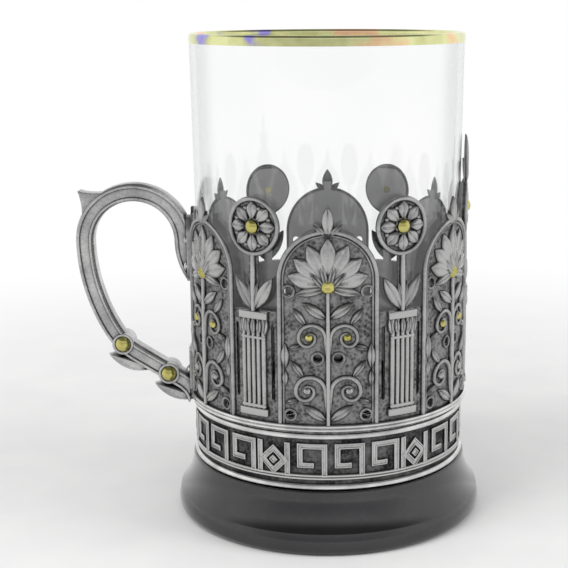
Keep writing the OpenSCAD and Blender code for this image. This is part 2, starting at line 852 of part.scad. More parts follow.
module handle_studs() {
    color([0.72, 0.66, 0.36]) mirror([1, 0, 0]) for (p = stud_places) stud_at(p) {
        translate([0, 0, -knuckle_w / 2]) cylinder(h = knuckle_w, r = stud_shank_r);
        for (side = [0, 1]) mirror([0, 0, side]) translate([0, 0, knuckle_w / 2 - stud_sink + seat_gap]) {
            cylinder(h = stud_sink - seat_gap, r = stud_r);
            translate([0, 0, stud_sink - seat_gap]) dome(stud_r, stud_dome_h);
        }
    }
}

// Tea glass
lip_r = glass_wall / 2;
lip_z = glass_h - lip_r;
lip_mid = [glass_top_r - lip_r, lip_z];

module glass_side(r, low, corner) {
    polygon([
        [0, low], [r - corner, low], [r, low + corner],
        [glass_top_r + r - glass_base_r, lip_z], [0, lip_z]
    ]);
    translate([r - corner, low + corner]) circle(r = corner);
}

module tea_glass() {
    color([0.85, 0.92, 0.95, 0.35]) translate([0, 0, floor_z]) rotate_extrude() {
        difference() {
            glass_side(glass_base_r, 0, glass_corner_r);
            glass_side(glass_base_r - glass_wall, glass_bottom, glass_corner_r);
            translate([0, -over]) square([glass_base_r - glass_corner_r - glass_stand_w, glass_kick + over]);
        }
        translate(lip_mid) circle(r = lip_r);
    }
}

module rim_gilding() {
    near = seat_gap / 2;
    low_r = glass_top_r - taper * (gilt_h - lip_r);
    color([0.85, 0.7, 0.3]) translate([0, 0, floor_z]) rotate_extrude() {
        polygon([
            [low_r + near, glass_h - gilt_h], [low_r + near + gilt_t, glass_h - gilt_h],
            [glass_top_r + near + gilt_t, lip_z], [glass_top_r + near, lip_z]
        ]);
        translate(lip_mid) intersection() {
            ring(lip_r + near + gilt_t, gilt_t);
            upper_half(glass_wall);
        }
        translate([glass_top_r - glass_wall - near - gilt_t, lip_z - lip_r]) square([gilt_t, lip_r]);
    }
}

foot();
drum();
lower_fillet();
upper_fillet();
floor_plate();
centre_screw();
clamp_washer();
clamp_nut();
sleeve();
arch_panels();
pillars();
rosettes();
gilt_bosses();
handle_upper_plate();
handle_lower_plate();
handle_upper_rivets();
handle_lower_rivets();
handle();
handle_studs();
tea_glass();
rim_gilding();
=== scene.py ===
# %% [markdown]
# A clear tea glass stands in an openwork metal holder: a pierced sleeve with a relief arcade, a drum with
# a key frieze, a flared foot and a loop handle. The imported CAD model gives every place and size. This
# lesson dresses it. Parts whose form is simple keep their CAD mesh and get a finish. The castings, the
# drum, the foot, the glass and the gilding are modelled anew in their places.

# %% The frame
import math
import bpy
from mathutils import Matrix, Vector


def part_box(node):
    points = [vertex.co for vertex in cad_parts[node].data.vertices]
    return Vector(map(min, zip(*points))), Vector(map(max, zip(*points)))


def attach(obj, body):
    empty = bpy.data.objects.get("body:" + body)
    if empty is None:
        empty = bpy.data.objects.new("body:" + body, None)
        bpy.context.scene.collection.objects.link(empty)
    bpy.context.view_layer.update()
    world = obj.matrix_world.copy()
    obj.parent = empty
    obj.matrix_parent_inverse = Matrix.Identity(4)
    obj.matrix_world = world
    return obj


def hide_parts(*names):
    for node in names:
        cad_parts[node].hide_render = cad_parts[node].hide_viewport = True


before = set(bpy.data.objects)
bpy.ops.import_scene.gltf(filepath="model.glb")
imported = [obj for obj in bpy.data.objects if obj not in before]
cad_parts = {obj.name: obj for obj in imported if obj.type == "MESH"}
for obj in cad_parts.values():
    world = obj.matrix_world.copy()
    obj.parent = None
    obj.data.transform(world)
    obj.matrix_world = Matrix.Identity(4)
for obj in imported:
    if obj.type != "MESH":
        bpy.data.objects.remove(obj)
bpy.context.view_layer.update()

# %% [markdown]
# Lengths are written in millimetres, as on a workshop drawing, and turned into Blender's metres by one
# factor. The main radii and heights come from the boxes of the CAD nodes, so that they can't drift apart.

# %% Measures
MM = 0.001
RELIEF_H = 0.65
SOLDER = 0.05
SLEEVE_WALL = 0.8


def low(node):
    """Lowest corner of a CAD node, in millimetres."""
    return [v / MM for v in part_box(node)[0]]


def high(node):
    """Highest corner of a CAD node, in millimetres."""
    return [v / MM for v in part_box(node)[1]]


SLEEVE_Z = low("sleeve")[2]
RELIEF_OUT = high("sleeve")[0]
RELIEF_IN = RELIEF_OUT - RELIEF_H
SLEEVE_OUT = RELIEF_IN - SOLDER
SLEEVE_IN = SLEEVE_OUT - SLEEVE_WALL
DRUM_OUT = high("drum")[0]
FLOOR_Z = high("floor_plate")[2]
LIP_Z = high("tea_glass")[2]
LIP_R = high("tea_glass")[0]
print("sleeve starts at", round(SLEEVE_Z, 2), "mm, relief radius", round(RELIEF_OUT, 2), "mm")

# %% [markdown]
# The camera stands where the photographer's did: a third of a metre in front of the glass, a little above
# its lip, looking down by twelve degrees. The lens is long. A small sensor shift sets the object right of
# the middle without turning the camera.

# %% Camera
CAMERA_BACK = 322.8
CAMERA_UP = 128.2
LOOK_DOWN = 12.37
ROLL = 0.23
LENS = 82.1
SHIFT_X = -0.0752

bpy.ops.object.camera_add(location=(0, -CAMERA_BACK * MM, CAMERA_UP * MM))
camera = bpy.context.object
camera.rotation_euler = (math.radians(90 - LOOK_DOWN), math.radians(ROLL), 0)
camera.data.lens = LENS
camera.data.sensor_width = 36
camera.data.shift_x = SHIFT_X
bpy.context.scene.camera = camera
bpy.context.scene.view_settings.view_transform = "Standard"
print("camera at", [round(v, 3) for v in camera.location])

# %% [markdown]
# Every look in this lesson is a tree of nodes. A few helpers each make one node, wire what goes into it
# and hand back what comes out, so that a tree reads like a formula.

# %% Helpers for nodes
class Nodes:
    """Short ways to build in one node tree."""

    def __init__(self, tree):
        self.tree = tree

    def feed(self, node, values):
        """Fills inputs of a node. A value that is itself a socket is wired, any other is set."""
        for key, value in values.items():
            if isinstance(value, bpy.types.NodeSocket):
                self.tree.links.new(value, node.inputs[key])
            else:
                is_color = isinstance(value, tuple)
                node.inputs[key].default_value = (*value, 1) if is_color else value
        return node

    def make(self, kind, values=None, **settings):
        node = self.tree.nodes.new("ShaderNode" + kind)
        for key, value in settings.items():
            setattr(node, key, value)
        return self.feed(node, values or {})

    def place(self):
        """The object's own coordinates, in metres."""
        return self.make("TexCoord").outputs["Object"]

    def work(self, operation, first, second, **settings):
        """The outcome of a sum or product of two numbers."""
        return self.make("Math", {0: first, 1: second}, operation=operation, **settings).outputs[0]

    def span(self, value, from_min=0.0, from_max=1.0, to_min=0.0, to_max=1.0, kind="LINEAR"):
        """A value moved from one range to another."""
        return self.make("MapRange", {"Value": value, "From Min": from_min, "From Max": from_max,
                                      "To Min": to_min, "To Max": to_max},
                         interpolation_type=kind).outputs["Result"]

    def mix(self, share, first, second, data_type="RGBA"):
        """The first colour or number where the share is 0, and the second where it is 1."""
        return self.make("Mix", {"Factor": share, "A": first, "B": second},
                         data_type=data_type).outputs["Result"]

    def noise(self, scale, detail, roughness=0.5):
        """Soft noise with a number of waves per metre."""
        return self.make("TexNoise", {"Vector": self.place(), "Scale": scale, "Detail": detail,
                                      "Roughness": roughness}).outputs["Fac"]

    def cells(self, scale):
        """The distance from the middle of cells, with a number of cells per metre."""
        return self.make("TexVoronoi", {"Vector": self.place(), "Scale": scale}).outputs["Distance"]

    def ramp(self, value, stops):
        """A colour for each value, from stops of a place and a colour."""
        node = self.make("ValToRGB", {"Fac": value})
        band = node.color_ramp
        while len(band.elements) < len(stops):
            band.elements.new(0.5)
        for element, (place, color) in zip(band.elements, stops):
            element.position = place
            element.color = (*color, 1)
        return node.outputs["Color"]

    def dents(self, height, strength, depth):
        """A normal that follows a height, with the depth in millimetres."""
        return self.make("Bump", {"Height": height, "Strength": strength,
                                  "Distance": depth * MM}).outputs["Normal"]

    def shown(self):
        """1 for rays of the camera, in mirrors and through glass, and 0 for light on dull surfaces."""
        path = self.make("LightPath").outputs
        seen = self.work("MAXIMUM", path["Is Camera Ray"], path["Is Transmission Ray"])
        return self.work("MAXIMUM", seen, path["Is Glossy Ray"])


def new_material(name):
    """A material, its helpers and its Principled shader."""
    material = bpy.data.materials.new(name)
    material.use_nodes = True
    tree = material.node_tree
    return material, Nodes(tree), tree.nodes["Principled BSDF"]


def grey(value, blue=0.0):
    """A grey, a little bluer or yellower."""
    return (value, value, value + blue)


WHITE = grey(1.0)
BLACK = grey(0.0)
print("node helpers are ready")

# %% [markdown]
# Polished metal shows its surroundings, so the room matters as much as the metal. A small light tent is
# white all round up to a height of about 30 degrees, dim in front, where the camera and the photographer
# stand, and dim overhead, which keeps the dark foot dark. The world carries that room for what the metal
# reflects. For the camera, through the glass and as light on dull surfaces it is plain white paper.

# %% Room
ROOM_LIGHT = 0.76
ROOM_FRONT = 0.6
ROOM_TOP = 0.2

world = bpy.data.worlds.new("light_tent")
bpy.context.scene.world = world
world.use_nodes = True
world.node_tree.nodes.clear()
net = Nodes(world.node_tree)
way = net.make("SeparateXYZ", {0: net.make("TexCoord").outputs["Generated"]}).outputs
sides = net.span(way["Y"], -0.95, -0.25, kind="SMOOTHSTEP")
above = net.span(way["Z"], 0.15, 0.75, kind="SMOOTHSTEP")
tent = net.mix(net.work("MAXIMUM", sides, above), grey(ROOM_FRONT, 0.03 * ROOM_FRONT), WHITE)
tent = net.mix(net.span(way["Z"], 0.5, 0.75, 1.0, ROOM_TOP, kind="SMOOTHSTEP"), BLACK, tent)
path = net.make("LightPath").outputs
on_paper = net.work("MAXIMUM", net.work("SUBTRACT", 1.0, path["Is Glossy Ray"]),
                    path["Is Transmission Ray"])
backdrop = net.make("Background", {"Color": net.mix(on_paper, tent, WHITE),
                                   "Strength": net.span(net.shown(), to_min=ROOM_LIGHT)})
net.make("OutputWorld", {"Surface": backdrop.outputs[0]})
print("world:", world.name)

# %% [markdown]
# Two soft lamps stand in the tent: a large one high at the left, which gives the shadow its direction, and
# a weaker one at the right that opens the shadows. The tent hides the lamps themselves, so neither the
# metal nor the glass shows them.

# %% Lamps
AIM_Z = 50


def softbox(name, place, size, power):
    """A square lamp that looks at the middle of the holder."""
    bpy.ops.object.light_add(type="AREA", location=[v * MM for v in place])
    lamp = bpy.context.object
    lamp.name = name
    lamp.data.size = size * MM
    lamp.data.energy = power
    x, y, z = -place[0], -place[1], AIM_Z - place[2]
    lamp.rotation_euler = (math.atan2(math.hypot(x, y), -z), 0, math.atan2(-x, y))
    lamp.visible_camera = False
    lamp.visible_glossy = False
    lamp.visible_transmission = False


softbox("key_lamp", (-420, -330, 520), 380, 2.6)
softbox("fill_lamp", (520, -160, 330), 300, 1.6)
print("lamps: 2")

# %% [markdown]
# The table is pale paper. Near the holder it is real paper, a light grey that takes the holder's shadow.
# Further off it fades into the white backdrop, so that no horizon shows.

# %% Table
TABLE = 2400
FADE_FROM = 95
FADE_TO = 330

bpy.ops.mesh.primitive_plane_add(size=TABLE * MM)
table = bpy.context.object
table.name = "table"
paper_stuff, net, shader = new_material("table_paper")
net.feed(shader, {"Roughness": 0.75, "Base Color": net.ramp(
    net.noise(60.0, 4.0), [(0.3, grey(0.73)), (0.7, grey(0.765, -0.005))])})
far = net.make("VectorMath", {0: net.place()}, operation="LENGTH").outputs["Value"]
fade = net.span(far, FADE_FROM * MM, FADE_TO * MM, kind="SMOOTHSTEP")
blend = net.make("MixShader", {0: net.work("MULTIPLY", net.shown(), fade), 1: shader.outputs[0],
                               2: net.make("Emission").outputs[0]})
net.feed(paper_stuff.node_tree.nodes["Material Output"], {"Surface": blend.outputs[0]})
table.data.materials.append(paper_stuff)
print("table fades from", FADE_FROM, "to", FADE_TO, "mm")

# %% [markdown]
# The holder is nickel plate, darkened on purpose and then rubbed, so that the high places are bright and
# the hollows stay nearly black. Three effects make that, and each is a node group that several finishes
# share. The first tells how far a point stands out from the axis, from 0 on the ground to 1 on the relief.

# %% Node group for the height of the relief
def new_group(name, inputs, outputs):
    """Starts a node group. Gives it, its helpers, its inputs and the node that takes its outputs."""
    group = bpy.data.node_groups.new(name, "ShaderNodeTree")
    for values, way in ((inputs, "INPUT"), (outputs, "OUTPUT")):
        for title, value in values.items():
            is_color = isinstance(value, tuple)
            socket = group.interface.new_socket(
                title, in_out=way, socket_type="NodeSocketColor" if is_color else "NodeSocketFloat")
            socket.default_value = (*value, 1) if is_color else value
    given = group.nodes.new("NodeGroupInput").outputs
    return group, Nodes(group), given, group.nodes.new("NodeGroupOutput")


relief_group, net, given, result = new_group(
    "relief_height", {"Ground radius": 34.4, "Top radius": 35.1}, {"Height": 0.0})
way = net.make("SeparateXYZ", {0: net.place()}).outputs
flat = net.make("CombineXYZ", {"X": way["X"], "Y": way["Y"]}).outputs[0]
radius = net.make("VectorMath", {0: flat}, operation="LENGTH").outputs["Value"]
net.feed(result, {"Height": net.span(net.work("MULTIPLY", radius, 1 / MM), given["Ground radius"],
                                     given["Top radius"], kind="SMOOTHSTEP")})


def relief_height(net, ground, top):
    """The height of a point between two radii in millimetres, in a material."""
    return net.make("Group", {"Ground radius": ground, "Top radius": top},
                    node_tree=relief_group).outputs["Height"]


print("group:", relief_group.name)

# %% [markdown]
# The second is the darkening itself. The bath turns the metal black in every corner that a cloth can't
# reach, which ambient occlusion finds, and clouds of it stay on the open places. The polishing cloth
# brings back the metal on the high ones. The group mixes three colours by that wear.

# %% Node group for darkened and rubbed metal
patina_group, net, given, result = new_group(
    "darkened_metal",
    {"Height": 0.5, "Corner size": 1.2, "Rubbing": 0.5, "Cloud size": 5.0, "Black": grey(0.012, 0.001),
     "Grey": grey(0.16), "Bright": grey(0.62, -0.01), "Smooth": 0.22, "Dull": 0.5},
    {"Color": BLACK, "Roughness": 0.0})
corner = net.make("AmbientOcclusion", {"Distance": net.work("MULTIPLY", given["Corner size"], MM)},
                  samples=4)
cloud = net.noise(net.work("DIVIDE", 1 / MM, given["Cloud size"]), 5.0, 0.62)
fine = net.noise(1500.0, 3.0)
wear = given["Height"]
for more in (net.span(cloud, 0.3, 0.7, -0.22, 0.22), net.span(fine, 0.3, 0.7, -0.1, 0.1),
             given["Rubbing"], -0.5):
    wear = net.work("ADD", wear, more)
wear = net.work("MULTIPLY", wear, net.span(corner.outputs["AO"], 0.25, 0.95), use_clamp=True)
half_rubbed = net.mix(net.span(wear, 0.0, 0.42), given["Black"], given["Grey"])
net.feed(result, {"Color": net.mix(net.span(wear, 0.42, 0.95), half_rubbed, given["Bright"]),
                  "Roughness": net.mix(wear, given["Dull"], given["Smooth"], "FLOAT")})
print("group:", patina_group.name)

# %% [markdown]
# The third is the skin of a casting: a fine pebbled surface left by the mould, with here and there a pit.
# It puts out a height for a Bump node.

# %% Node group for the skin of a casting
skin_group, net, given, result = new_group(
    "cast_skin", {"Grain size": 0.5, "Pit size": 1.6}, {"Skin": 0.0})
grain = net.noise(net.work("DIVIDE", 1 / MM, given["Grain size"]), 2.0)
pit = net.cells(net.work("DIVIDE", 1 / MM, given["Pit size"]))
net.feed(result, {"Skin": net.work("ADD", grain, net.span(pit, 0.0, 0.28, -0.6, 0.0))})
print("group:", skin_group.name)

# %% [markdown]
# A finish is then quick to write. The drum, the relief and the handle differ only in these values, as the
# real pieces left the same bath and were rubbed by hand. The foot stayed in it longer and was lacquered.

# %% Finishes of darkened metal
def darkened(name, values, radii=None, grain=0.45, bump=0.035, lacquer=0.0):
    """A darkened and rubbed metal. radii are the ground and the top of its relief, in millimetres."""
    material, net, shader = new_material(name)
    if radii:
        values["Height"] = relief_height(net, *radii)
    patina = net.make("Group", values, node_tree=patina_group).outputs
    skin = net.make("Group", {"Grain size": grain}, node_tree=skin_group).outputs["Skin"]
    net.feed(shader, {"Metallic": 1.0, "Coat Weight": lacquer, "Coat Roughness": 0.12,
                      "Base Color": patina["Color"], "Roughness": patina["Roughness"],
                      "Normal": net.dents(skin, 1.0, bump)})
    return material


old_relief = darkened(
    "rubbed_relief", {"Rubbing": 0.64, "Black": grey(0.04, 0.001), "Grey": grey(0.27),
                      "Bright": grey(0.45, -0.005)}, (RELIEF_IN - 0.2, RELIEF_IN + 1.15))
old_drum = darkened(
    "rubbed_frieze", {"Rubbing": 0.62, "Corner size": 0.8, "Black": grey(0.02, 0.001),
                      "Grey": grey(0.19), "Bright": grey(0.55, -0.005)},
    (DRUM_OUT - 0.42, DRUM_OUT - 0.04))
old_strap = darkened(
    "rubbed_handle", {"Height": 0.68, "Rubbing": 0.58, "Corner size": 1.6, "Cloud size": 7.0,
                      "Grey": grey(0.26), "Bright": grey(0.58, -0.005), "Smooth": 0.26, "Dull": 0.46},
    bump=0.025)
dark_foot = darkened(
    "dark_foot", {"Height": 0.3, "Rubbing": 0.5, "Corner size": 3.0, "Cloud size": 26.0,
                  "Black": grey(0.03, 0.001), "Grey": grey(0.05, 0.002), "Bright": grey(0.08, 0.003),
                  "Smooth": 0.12, "Dull": 0.2}, grain=1.1, bump=0.004, lacquer=0.8)
print("darkened finishes: 4")

# %% [markdown]
# The sleeve's wall has two faces. Outside, the ground of the relief was matted with a small punch and left
# dark, so that the ornament stands out. Inside, the rolled sheet is a plain dull grey with a skin of
# tarnish, so it is only partly metal to the light, and it shows through the clear glass. The distance from
# the axis tells the two apart.

# %% Sleeve wall
wall_stuff, net, shader = new_material("sleeve_wall")
raised = relief_height(net, SLEEVE_OUT + 0.02, SLEEVE_OUT + 0.6)
outside = relief_height(net, SLEEVE_IN + 0.1, SLEEVE_IN + 0.3)
punch = net.cells(1200.0)
rubbing = net.work("MULTIPLY", net.span(punch, 0.25, 0.8, 0.82, 1.2), 0.82)
punched = net.make("Group", {"Height": raised, "Rubbing": rubbing, "Cloud size": 4.0,
                             "Black": grey(0.04, 0.001), "Grey": grey(0.24), "Bright": grey(0.3)},
                   node_tree=patina_group).outputs
rolled = net.ramp(net.noise(260.0, 4.0), [(0.3, grey(0.25)), (0.7, grey(0.31))])
on_ground = net.work("MULTIPLY", outside, net.work("SUBTRACT", 1.0, raised))
net.feed(shader, {"Base Color": net.mix(outside, rolled, punched["Color"]),
                  "Metallic": net.span(outside, to_min=0.2),
                  "Roughness": net.mix(outside, 0.6, punched["Roughness"], "FLOAT"),
                  "Normal": net.dents(net.work("MULTIPLY", punch, on_ground), 0.9, 0.12)})
print("material:", wall_stuff.name)

# %% [markdown]
# The fillet wires and rivets are bright nickel, the screw and its nut plain brass. Both have fine
# scratches and a cloud of tarnish. The gilding is thin and greenish, and where it was fired thicker it
# turns to orange and violet, as lustre does.

# %% Bright finishes
SCRATCH = 0.004


def bright(name, stops, roughness, cloud_size):
    """A bright metal whose colour drifts slowly between the stops of a ramp."""
    material, net, shader = new_material(name)
    cloud = net.noise(1 / (cloud_size * MM), 4.0)
    net.feed(shader, {"Metallic": 1.0, "Base Color": net.ramp(cloud, stops),
                      "Roughness": net.span(cloud, to_min=roughness * 0.7, to_max=roughness * 1.4),
                      "Normal": net.dents(net.noise(2200.0, 2.0), 0.6, SCRATCH)})
    return material


nickel = bright("bright_nickel", [(0.3, grey(0.5)), (0.65, grey(0.8, -0.01))], 0.2, 6)
brass = bright("turned_brass", [(0.3, (0.42, 0.3, 0.13)), (0.7, (0.62, 0.48, 0.24))], 0.3, 5)
gilt = bright("gilding", [(0.3, (0.42, 0.38, 0.11)), (0.6, (0.62, 0.57, 0.2))], 0.2, 7)
lip_gilt = bright("lip_gilding", [(0.35, (0.34, 0.3, 0.7)), (0.42, (0.62, 0.63, 0.3)),
                                  (0.56, (0.8, 0.82, 0.42)), (0.65, (0.94, 0.6, 0.36))], 0.12, 13)
print("bright finishes: 4")

# %% [markdown]
# The glass is clear and nearly without colour. Its colour is painted grey where one looks along its wall,
# at its edges: painted shade for the dark edges of a glass. Its smooth surface has a slow wave of the
# mould, enough to bend a reflection.

# %% Clear glass
clear, net, shader = new_material("clear_glass")
haze = net.noise(35.0, 2.0)
thin = net.ramp(haze, [(0.35, (0.965, 0.97, 0.97)), (0.7, grey(0.99))])
slant = net.make("LayerWeight", {"Blend": 0.35}).outputs["Facing"]
# Painted shade: the colour turns grey at the glass's edges, where the wall is seen at a slant.
edge_shade = net.span(slant, 0.34, 0.54, kind="SMOOTHSTEP")
net.feed(shader, {"Metallic": 0.0, "Transmission Weight": 1.0, "IOR": 1.5,
                  "Base Color": net.mix(edge_shade, thin, (0.76, 0.775, 0.775)),
                  "Roughness": net.span(haze, to_max=0.03), "Normal": net.dents(haze, 0.3, 0.02)})
print("material:", clear.name)

# %% [markdown]
# Every CAD node first gets its finish, so that no piece can be left grey.

# %% Finishes of the CAD nodes
FINISHES = {
    dark_foot: ["foot"],
    old_drum: ["drum"],
    nickel: ["lower_fillet", "upper_fillet", "floor_plate", "handle_upper_rivets", "handle_lower_rivets"],
    brass: ["centre_screw", "clamp_washer", "clamp_nut"],
    wall_stuff: ["sleeve"],
    old_relief: ["arch_panels", "pillars", "rosettes"],
    old_strap: ["handle", "handle_upper_plate", "handle_lower_plate"],
    gilt: ["gilt_bosses", "handle_studs"],
    clear: ["tea_glass"],
    lip_gilt: ["rim_gilding"],
}
for material, names in FINISHES.items():
    for name in names:
        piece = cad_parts[name]
        piece.data.materials.clear()
        piece.data.materials.append(material)
print("nodes with a finish:", sum(map(len, FINISHES.values())), "of", len(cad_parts))

# %% [markdown]
# The ornament of the sleeve is cast and chased, so nothing on it is flat. Each motif is modelled once,
# lying flat and facing the camera, and then copied to its places. The copies are joined and bent round the
# sleeve together. A bump map would leave the edge of the holder flat against the light.

# %% Helpers for modelling
NEAR = 0.01
MERGE = 0.001


def begin():
    """Deselects everything, so that an operator acts only on what comes next."""
    if bpy.context.object and bpy.context.object.mode != "OBJECT":
        bpy.ops.object.mode_set(mode="OBJECT")
    bpy.ops.object.select_all(action="DESELECT")


def take(*pieces):
    """Selects these pieces alone and makes the first one active."""
    begin()
    for piece in pieces:
        piece.select_set(True)
    bpy.context.view_layer.objects.active = pieces[0]


def clear_away(*pieces):
    """Deletes pieces that have done their work."""
    take(*pieces)
    bpy.ops.object.delete()


def settle(name=None):
    """Puts the place, turn and size of a piece into its mesh. A new piece also gets its name here."""
    bpy.ops.object.transform_apply(location=True, rotation=True, scale=True)
    piece = bpy.context.object
    piece.name = name or piece.name
    return piece


def edit_all():
    """Enters edit mode with the whole mesh selected."""
    bpy.ops.object.mode_set(mode="EDIT")
    bpy.ops.mesh.select_all(action="SELECT")


def close_up(gap=0.0):
    """Merges points that are closer than a gap, turns every face outwards and leaves edit mode."""
    edit_all()
    if gap:
        bpy.ops.mesh.remove_doubles(threshold=gap)
    bpy.ops.mesh.normals_make_consistent(inside=False)
    bpy.ops.object.mode_set(mode="OBJECT")


def pick(kind, choose):
    """In edit mode, selects the points (VERT) or faces (FACE) that choose accepts."""
    bpy.ops.object.mode_set(mode="EDIT")
    bpy.ops.mesh.select_mode(type=kind)
    bpy.ops.mesh.select_all(action="DESELECT")
    bpy.ops.object.mode_set(mode="OBJECT")
    mesh = bpy.context.object.data
    for item in (mesh.vertices if kind == "VERT" else mesh.polygons):
        item.select = choose(item)
    bpy.ops.object.mode_set(mode="EDIT")


def leave():
    """Leaves edit mode."""
    bpy.ops.object.mode_set(mode="OBJECT")


def extrude(way):
    """Extrudes what is selected along a way."""
    bpy.ops.mesh.extrude_region_move(TRANSFORM_OT_translate={"value": way})


def cut(place, across, **settings):
    """Cuts the whole mesh at a place, straight across a direction, and stays in edit mode."""
    edit_all()
    bpy.ops.mesh.bisect(plane_co=place, plane_no=across, **settings)


def slice_back(depth=0.1):
    """Cuts off what lies further than a depth inside the wall and closes the cut."""
    cut((0, depth, 0), (0, 1, 0), use_fill=True, clear_outer=True)
    leave()


def modify(piece, kind, **settings):
    """Applies a modifier with its settings."""
    take(piece)
    modifier = piece.modifiers.new(kind.lower(), kind)
    for key, value in settings.items():
        setattr(modifier, key, value)
    bpy.ops.object.modifier_apply(modifier=modifier.name)


def round_edges(piece, width, degrees=30):
    """Rounds the edges that are sharper than an angle."""
    modify(piece, "BEVEL", width=width, segments=3, limit_method="ANGLE", angle_limit=math.radians(degrees))


def smooth(piece, degrees=40):
    """Smooths the shading, but keeps edges sharper than an angle."""
    take(piece)
    bpy.ops.object.shade_smooth_by_angle(angle=math.radians(degrees))


def own_copy(piece, name="copy"):
    """A copy with its own mesh."""
    copy = piece.copy()
    copy.data = piece.data.copy()
    copy.name = name
    bpy.context.collection.objects.link(copy)
    return copy


def drawn(name, points, filled=True):
    """A piece drawn as one closed outline, filled with a face or left as a line, in edit mode."""
    count = len(points)
    line = [(i, (i + 1) % count) for i in range(count)]
    mesh = bpy.data.meshes.new(name)
    mesh.from_pydata(points, [] if filled else line, [tuple(range(count))] if filled else [])
    piece = bpy.data.objects.new(name, mesh)
    bpy.context.collection.objects.link(piece)
    take(piece)
    edit_all()
    return piece


def report(piece, unit=1):
    """Prints how many triangles a piece has, and its size in millimetres."""
    triangles = sum(len(face.vertices) - 2 for face in piece.data.polygons)
    print(piece.name + ":", triangles, "triangles,", [round(v / unit, 2) for v in piece.dimensions])


# %% [markdown]
# A leaf starts as a ball one unit high. Its rings are drawn together towards the ends, the middle line is
# pressed in for the rib's groove, and the half that would lie in the wall is cut away. The petal differs
# only in its widths. The whole leaf, for under the handle, keeps both halves and has a shallow groove.

# %% Leaf and petal
RINGS = 12
GROOVE = 0.17
SHALLOW_GROOVE = 0.06
RIB_FROM = 0.03
RIB_TO = 0.9


def model_leaf(name, width_at, whole=False):
    """A domed leaf of unit size that stands on the origin and faces -Y, or both ways if it is whole."""
    begin()
    bpy.ops.mesh.primitive_uv_sphere_add(segments=16, ring_count=RINGS, radius=0.5, location=(0, 0, 0.5))
    form = settle(name)
    for ring in range(1, RINGS):
        z = 0.5 - 0.5 * math.cos(math.pi * ring / RINGS)
        round_width = 2 * math.sqrt(z * (1 - z))
        pick("VERT", lambda point: abs(point.co.z - z) < NEAR)
        bpy.ops.transform.resize(value=(width_at(z) / round_width, 1, 1))
    for side in ((-1, 1) if whole else (-1,)):
        pick("VERT", lambda point: (abs(point.co.x) < NEAR and point.co.y * side > 0
                                    and RIB_FROM < point.co.z < RIB_TO))
        bpy.ops.transform.translate(value=(0, -(SHALLOW_GROOVE if whole else GROOVE) * side, 0))
    leave()
    if not whole:
        slice_back(0.06)
    report(form)
    return form


def almond(z):
    """The width of a leaf at a height from 0 to 1."""
    return 4 * z * (1 - z)


leaf_form = model_leaf("leaf_form", almond)
petal_form = model_leaf("petal_form", lambda z: math.sin(math.pi * z ** 1.35) * 0.98 + 0.02)
whole_leaf = model_leaf("whole_leaf", almond, whole=True)

# %% [markdown]
# A berry is a ball with its crown pressed in, like a bead that the chaser has struck once.

# %% Berry
CROWN_Y = -0.95
PRESSED = 0.3

begin()
bpy.ops.mesh.primitive_uv_sphere_add(segments=14, ring_count=8, radius=1, rotation=(math.pi / 2, 0, 0))
berry_form = settle("berry_form")
pick("VERT", lambda point: point.co.y < CROWN_Y)
bpy.ops.transform.translate(value=(0, PRESSED, 0))
slice_back(0.08)
report(berry_form)

# %% [markdown]
# A scroll is made of half turns, each smaller than the one before and starting where that one ends. A
# curve with a round section follows them, thinner at every point, and becomes a mesh.

# %% Scroll
SCROLL_R = 4.1
SCROLL_SHRINK = 0.67
SCROLL_TURNS = 3
STROKE = 1.2
STEPS = 14


def scroll_line():
    """Points of a scroll about the centre of its first turn, in millimetres, from its root."""
    points = [(SCROLL_R - inward, -drop * SCROLL_R) for inward, drop in ((0, 2.0), (0.1, 1.5), (0.35, 0.8))]
    middle = 0
    radius = SCROLL_R
    for turn in range(SCROLL_TURNS):
        for step in range(STEPS + (turn == SCROLL_TURNS - 1)):
            angle = math.pi * turn + math.pi * step / STEPS
            points.append((middle + (radius - STROKE / 2) * math.cos(angle),
                           (radius - STROKE / 2) * math.sin(angle)))
        middle += (-1 if turn % 2 == 0 else 1) * radius * (1 - SCROLL_SHRINK)
        radius *= SCROLL_SHRINK
    return points


line = scroll_line()
begin()
bpy.ops.curve.primitive_nurbs_path_add()
scroll_form = bpy.context.object
scroll_form.name = "scroll_form"
curve = scroll_form.data
curve.splines.clear()
route = curve.splines.new("POLY")
route.points.add(len(line) - 1)
for i, (x, z) in enumerate(line):
    route.points[i].co = (x, 0, z, 1)
    route.points[i].radius = min(0.55 + 0.15 * i, 1.0 - 0.4 * i / len(line))
curve.dimensions = "3D"
curve.bevel_depth = STROKE * 0.56
curve.bevel_resolution = 3
curve.use_fill_caps = True
bpy.ops.object.convert(target="MESH")
edit_all()
bpy.ops.mesh.remove_doubles(threshold=MERGE)
slice_back(0.08)
report(scroll_form)

# %% [markdown]
# A reed is a rod with a slight swelling in its middle. It serves the pillars and, once, each stem.

# %% Reed
SWELLS = ((0.2, 1.06), (0.4, 1.12), (0.6, 1.1), (0.8, 1.02), (1.0, 0.9))

begin()
bpy.ops.mesh.primitive_cylinder_add(vertices=16, radius=0.5, depth=1, location=(0, 0, 0.5))
reed_form = settle("reed_form")
for z, swell in SWELLS[:-1]:
    cut((0, 0, z), (0, 0, 1))
for z, swell in SWELLS:
    pick("VERT", lambda point: abs(point.co.z - z) < NEAR)
    bpy.ops.transform.resize(value=(swell, swell, 1))
slice_back(0.06)
report(reed_form)

# %% [markdown]
# An arch moulding is the path of a small round section: up one leg, over the head in a half circle and
# down the other leg. On a mesh that is one extrusion, one spin and one more extrusion.

# %% Arch mouldings
ARCH_R = RELIEF_OUT / 2 - 5.5
ARCH_Z = 36.5
ARCH_W = 1.4
RAIL_H = 2.2


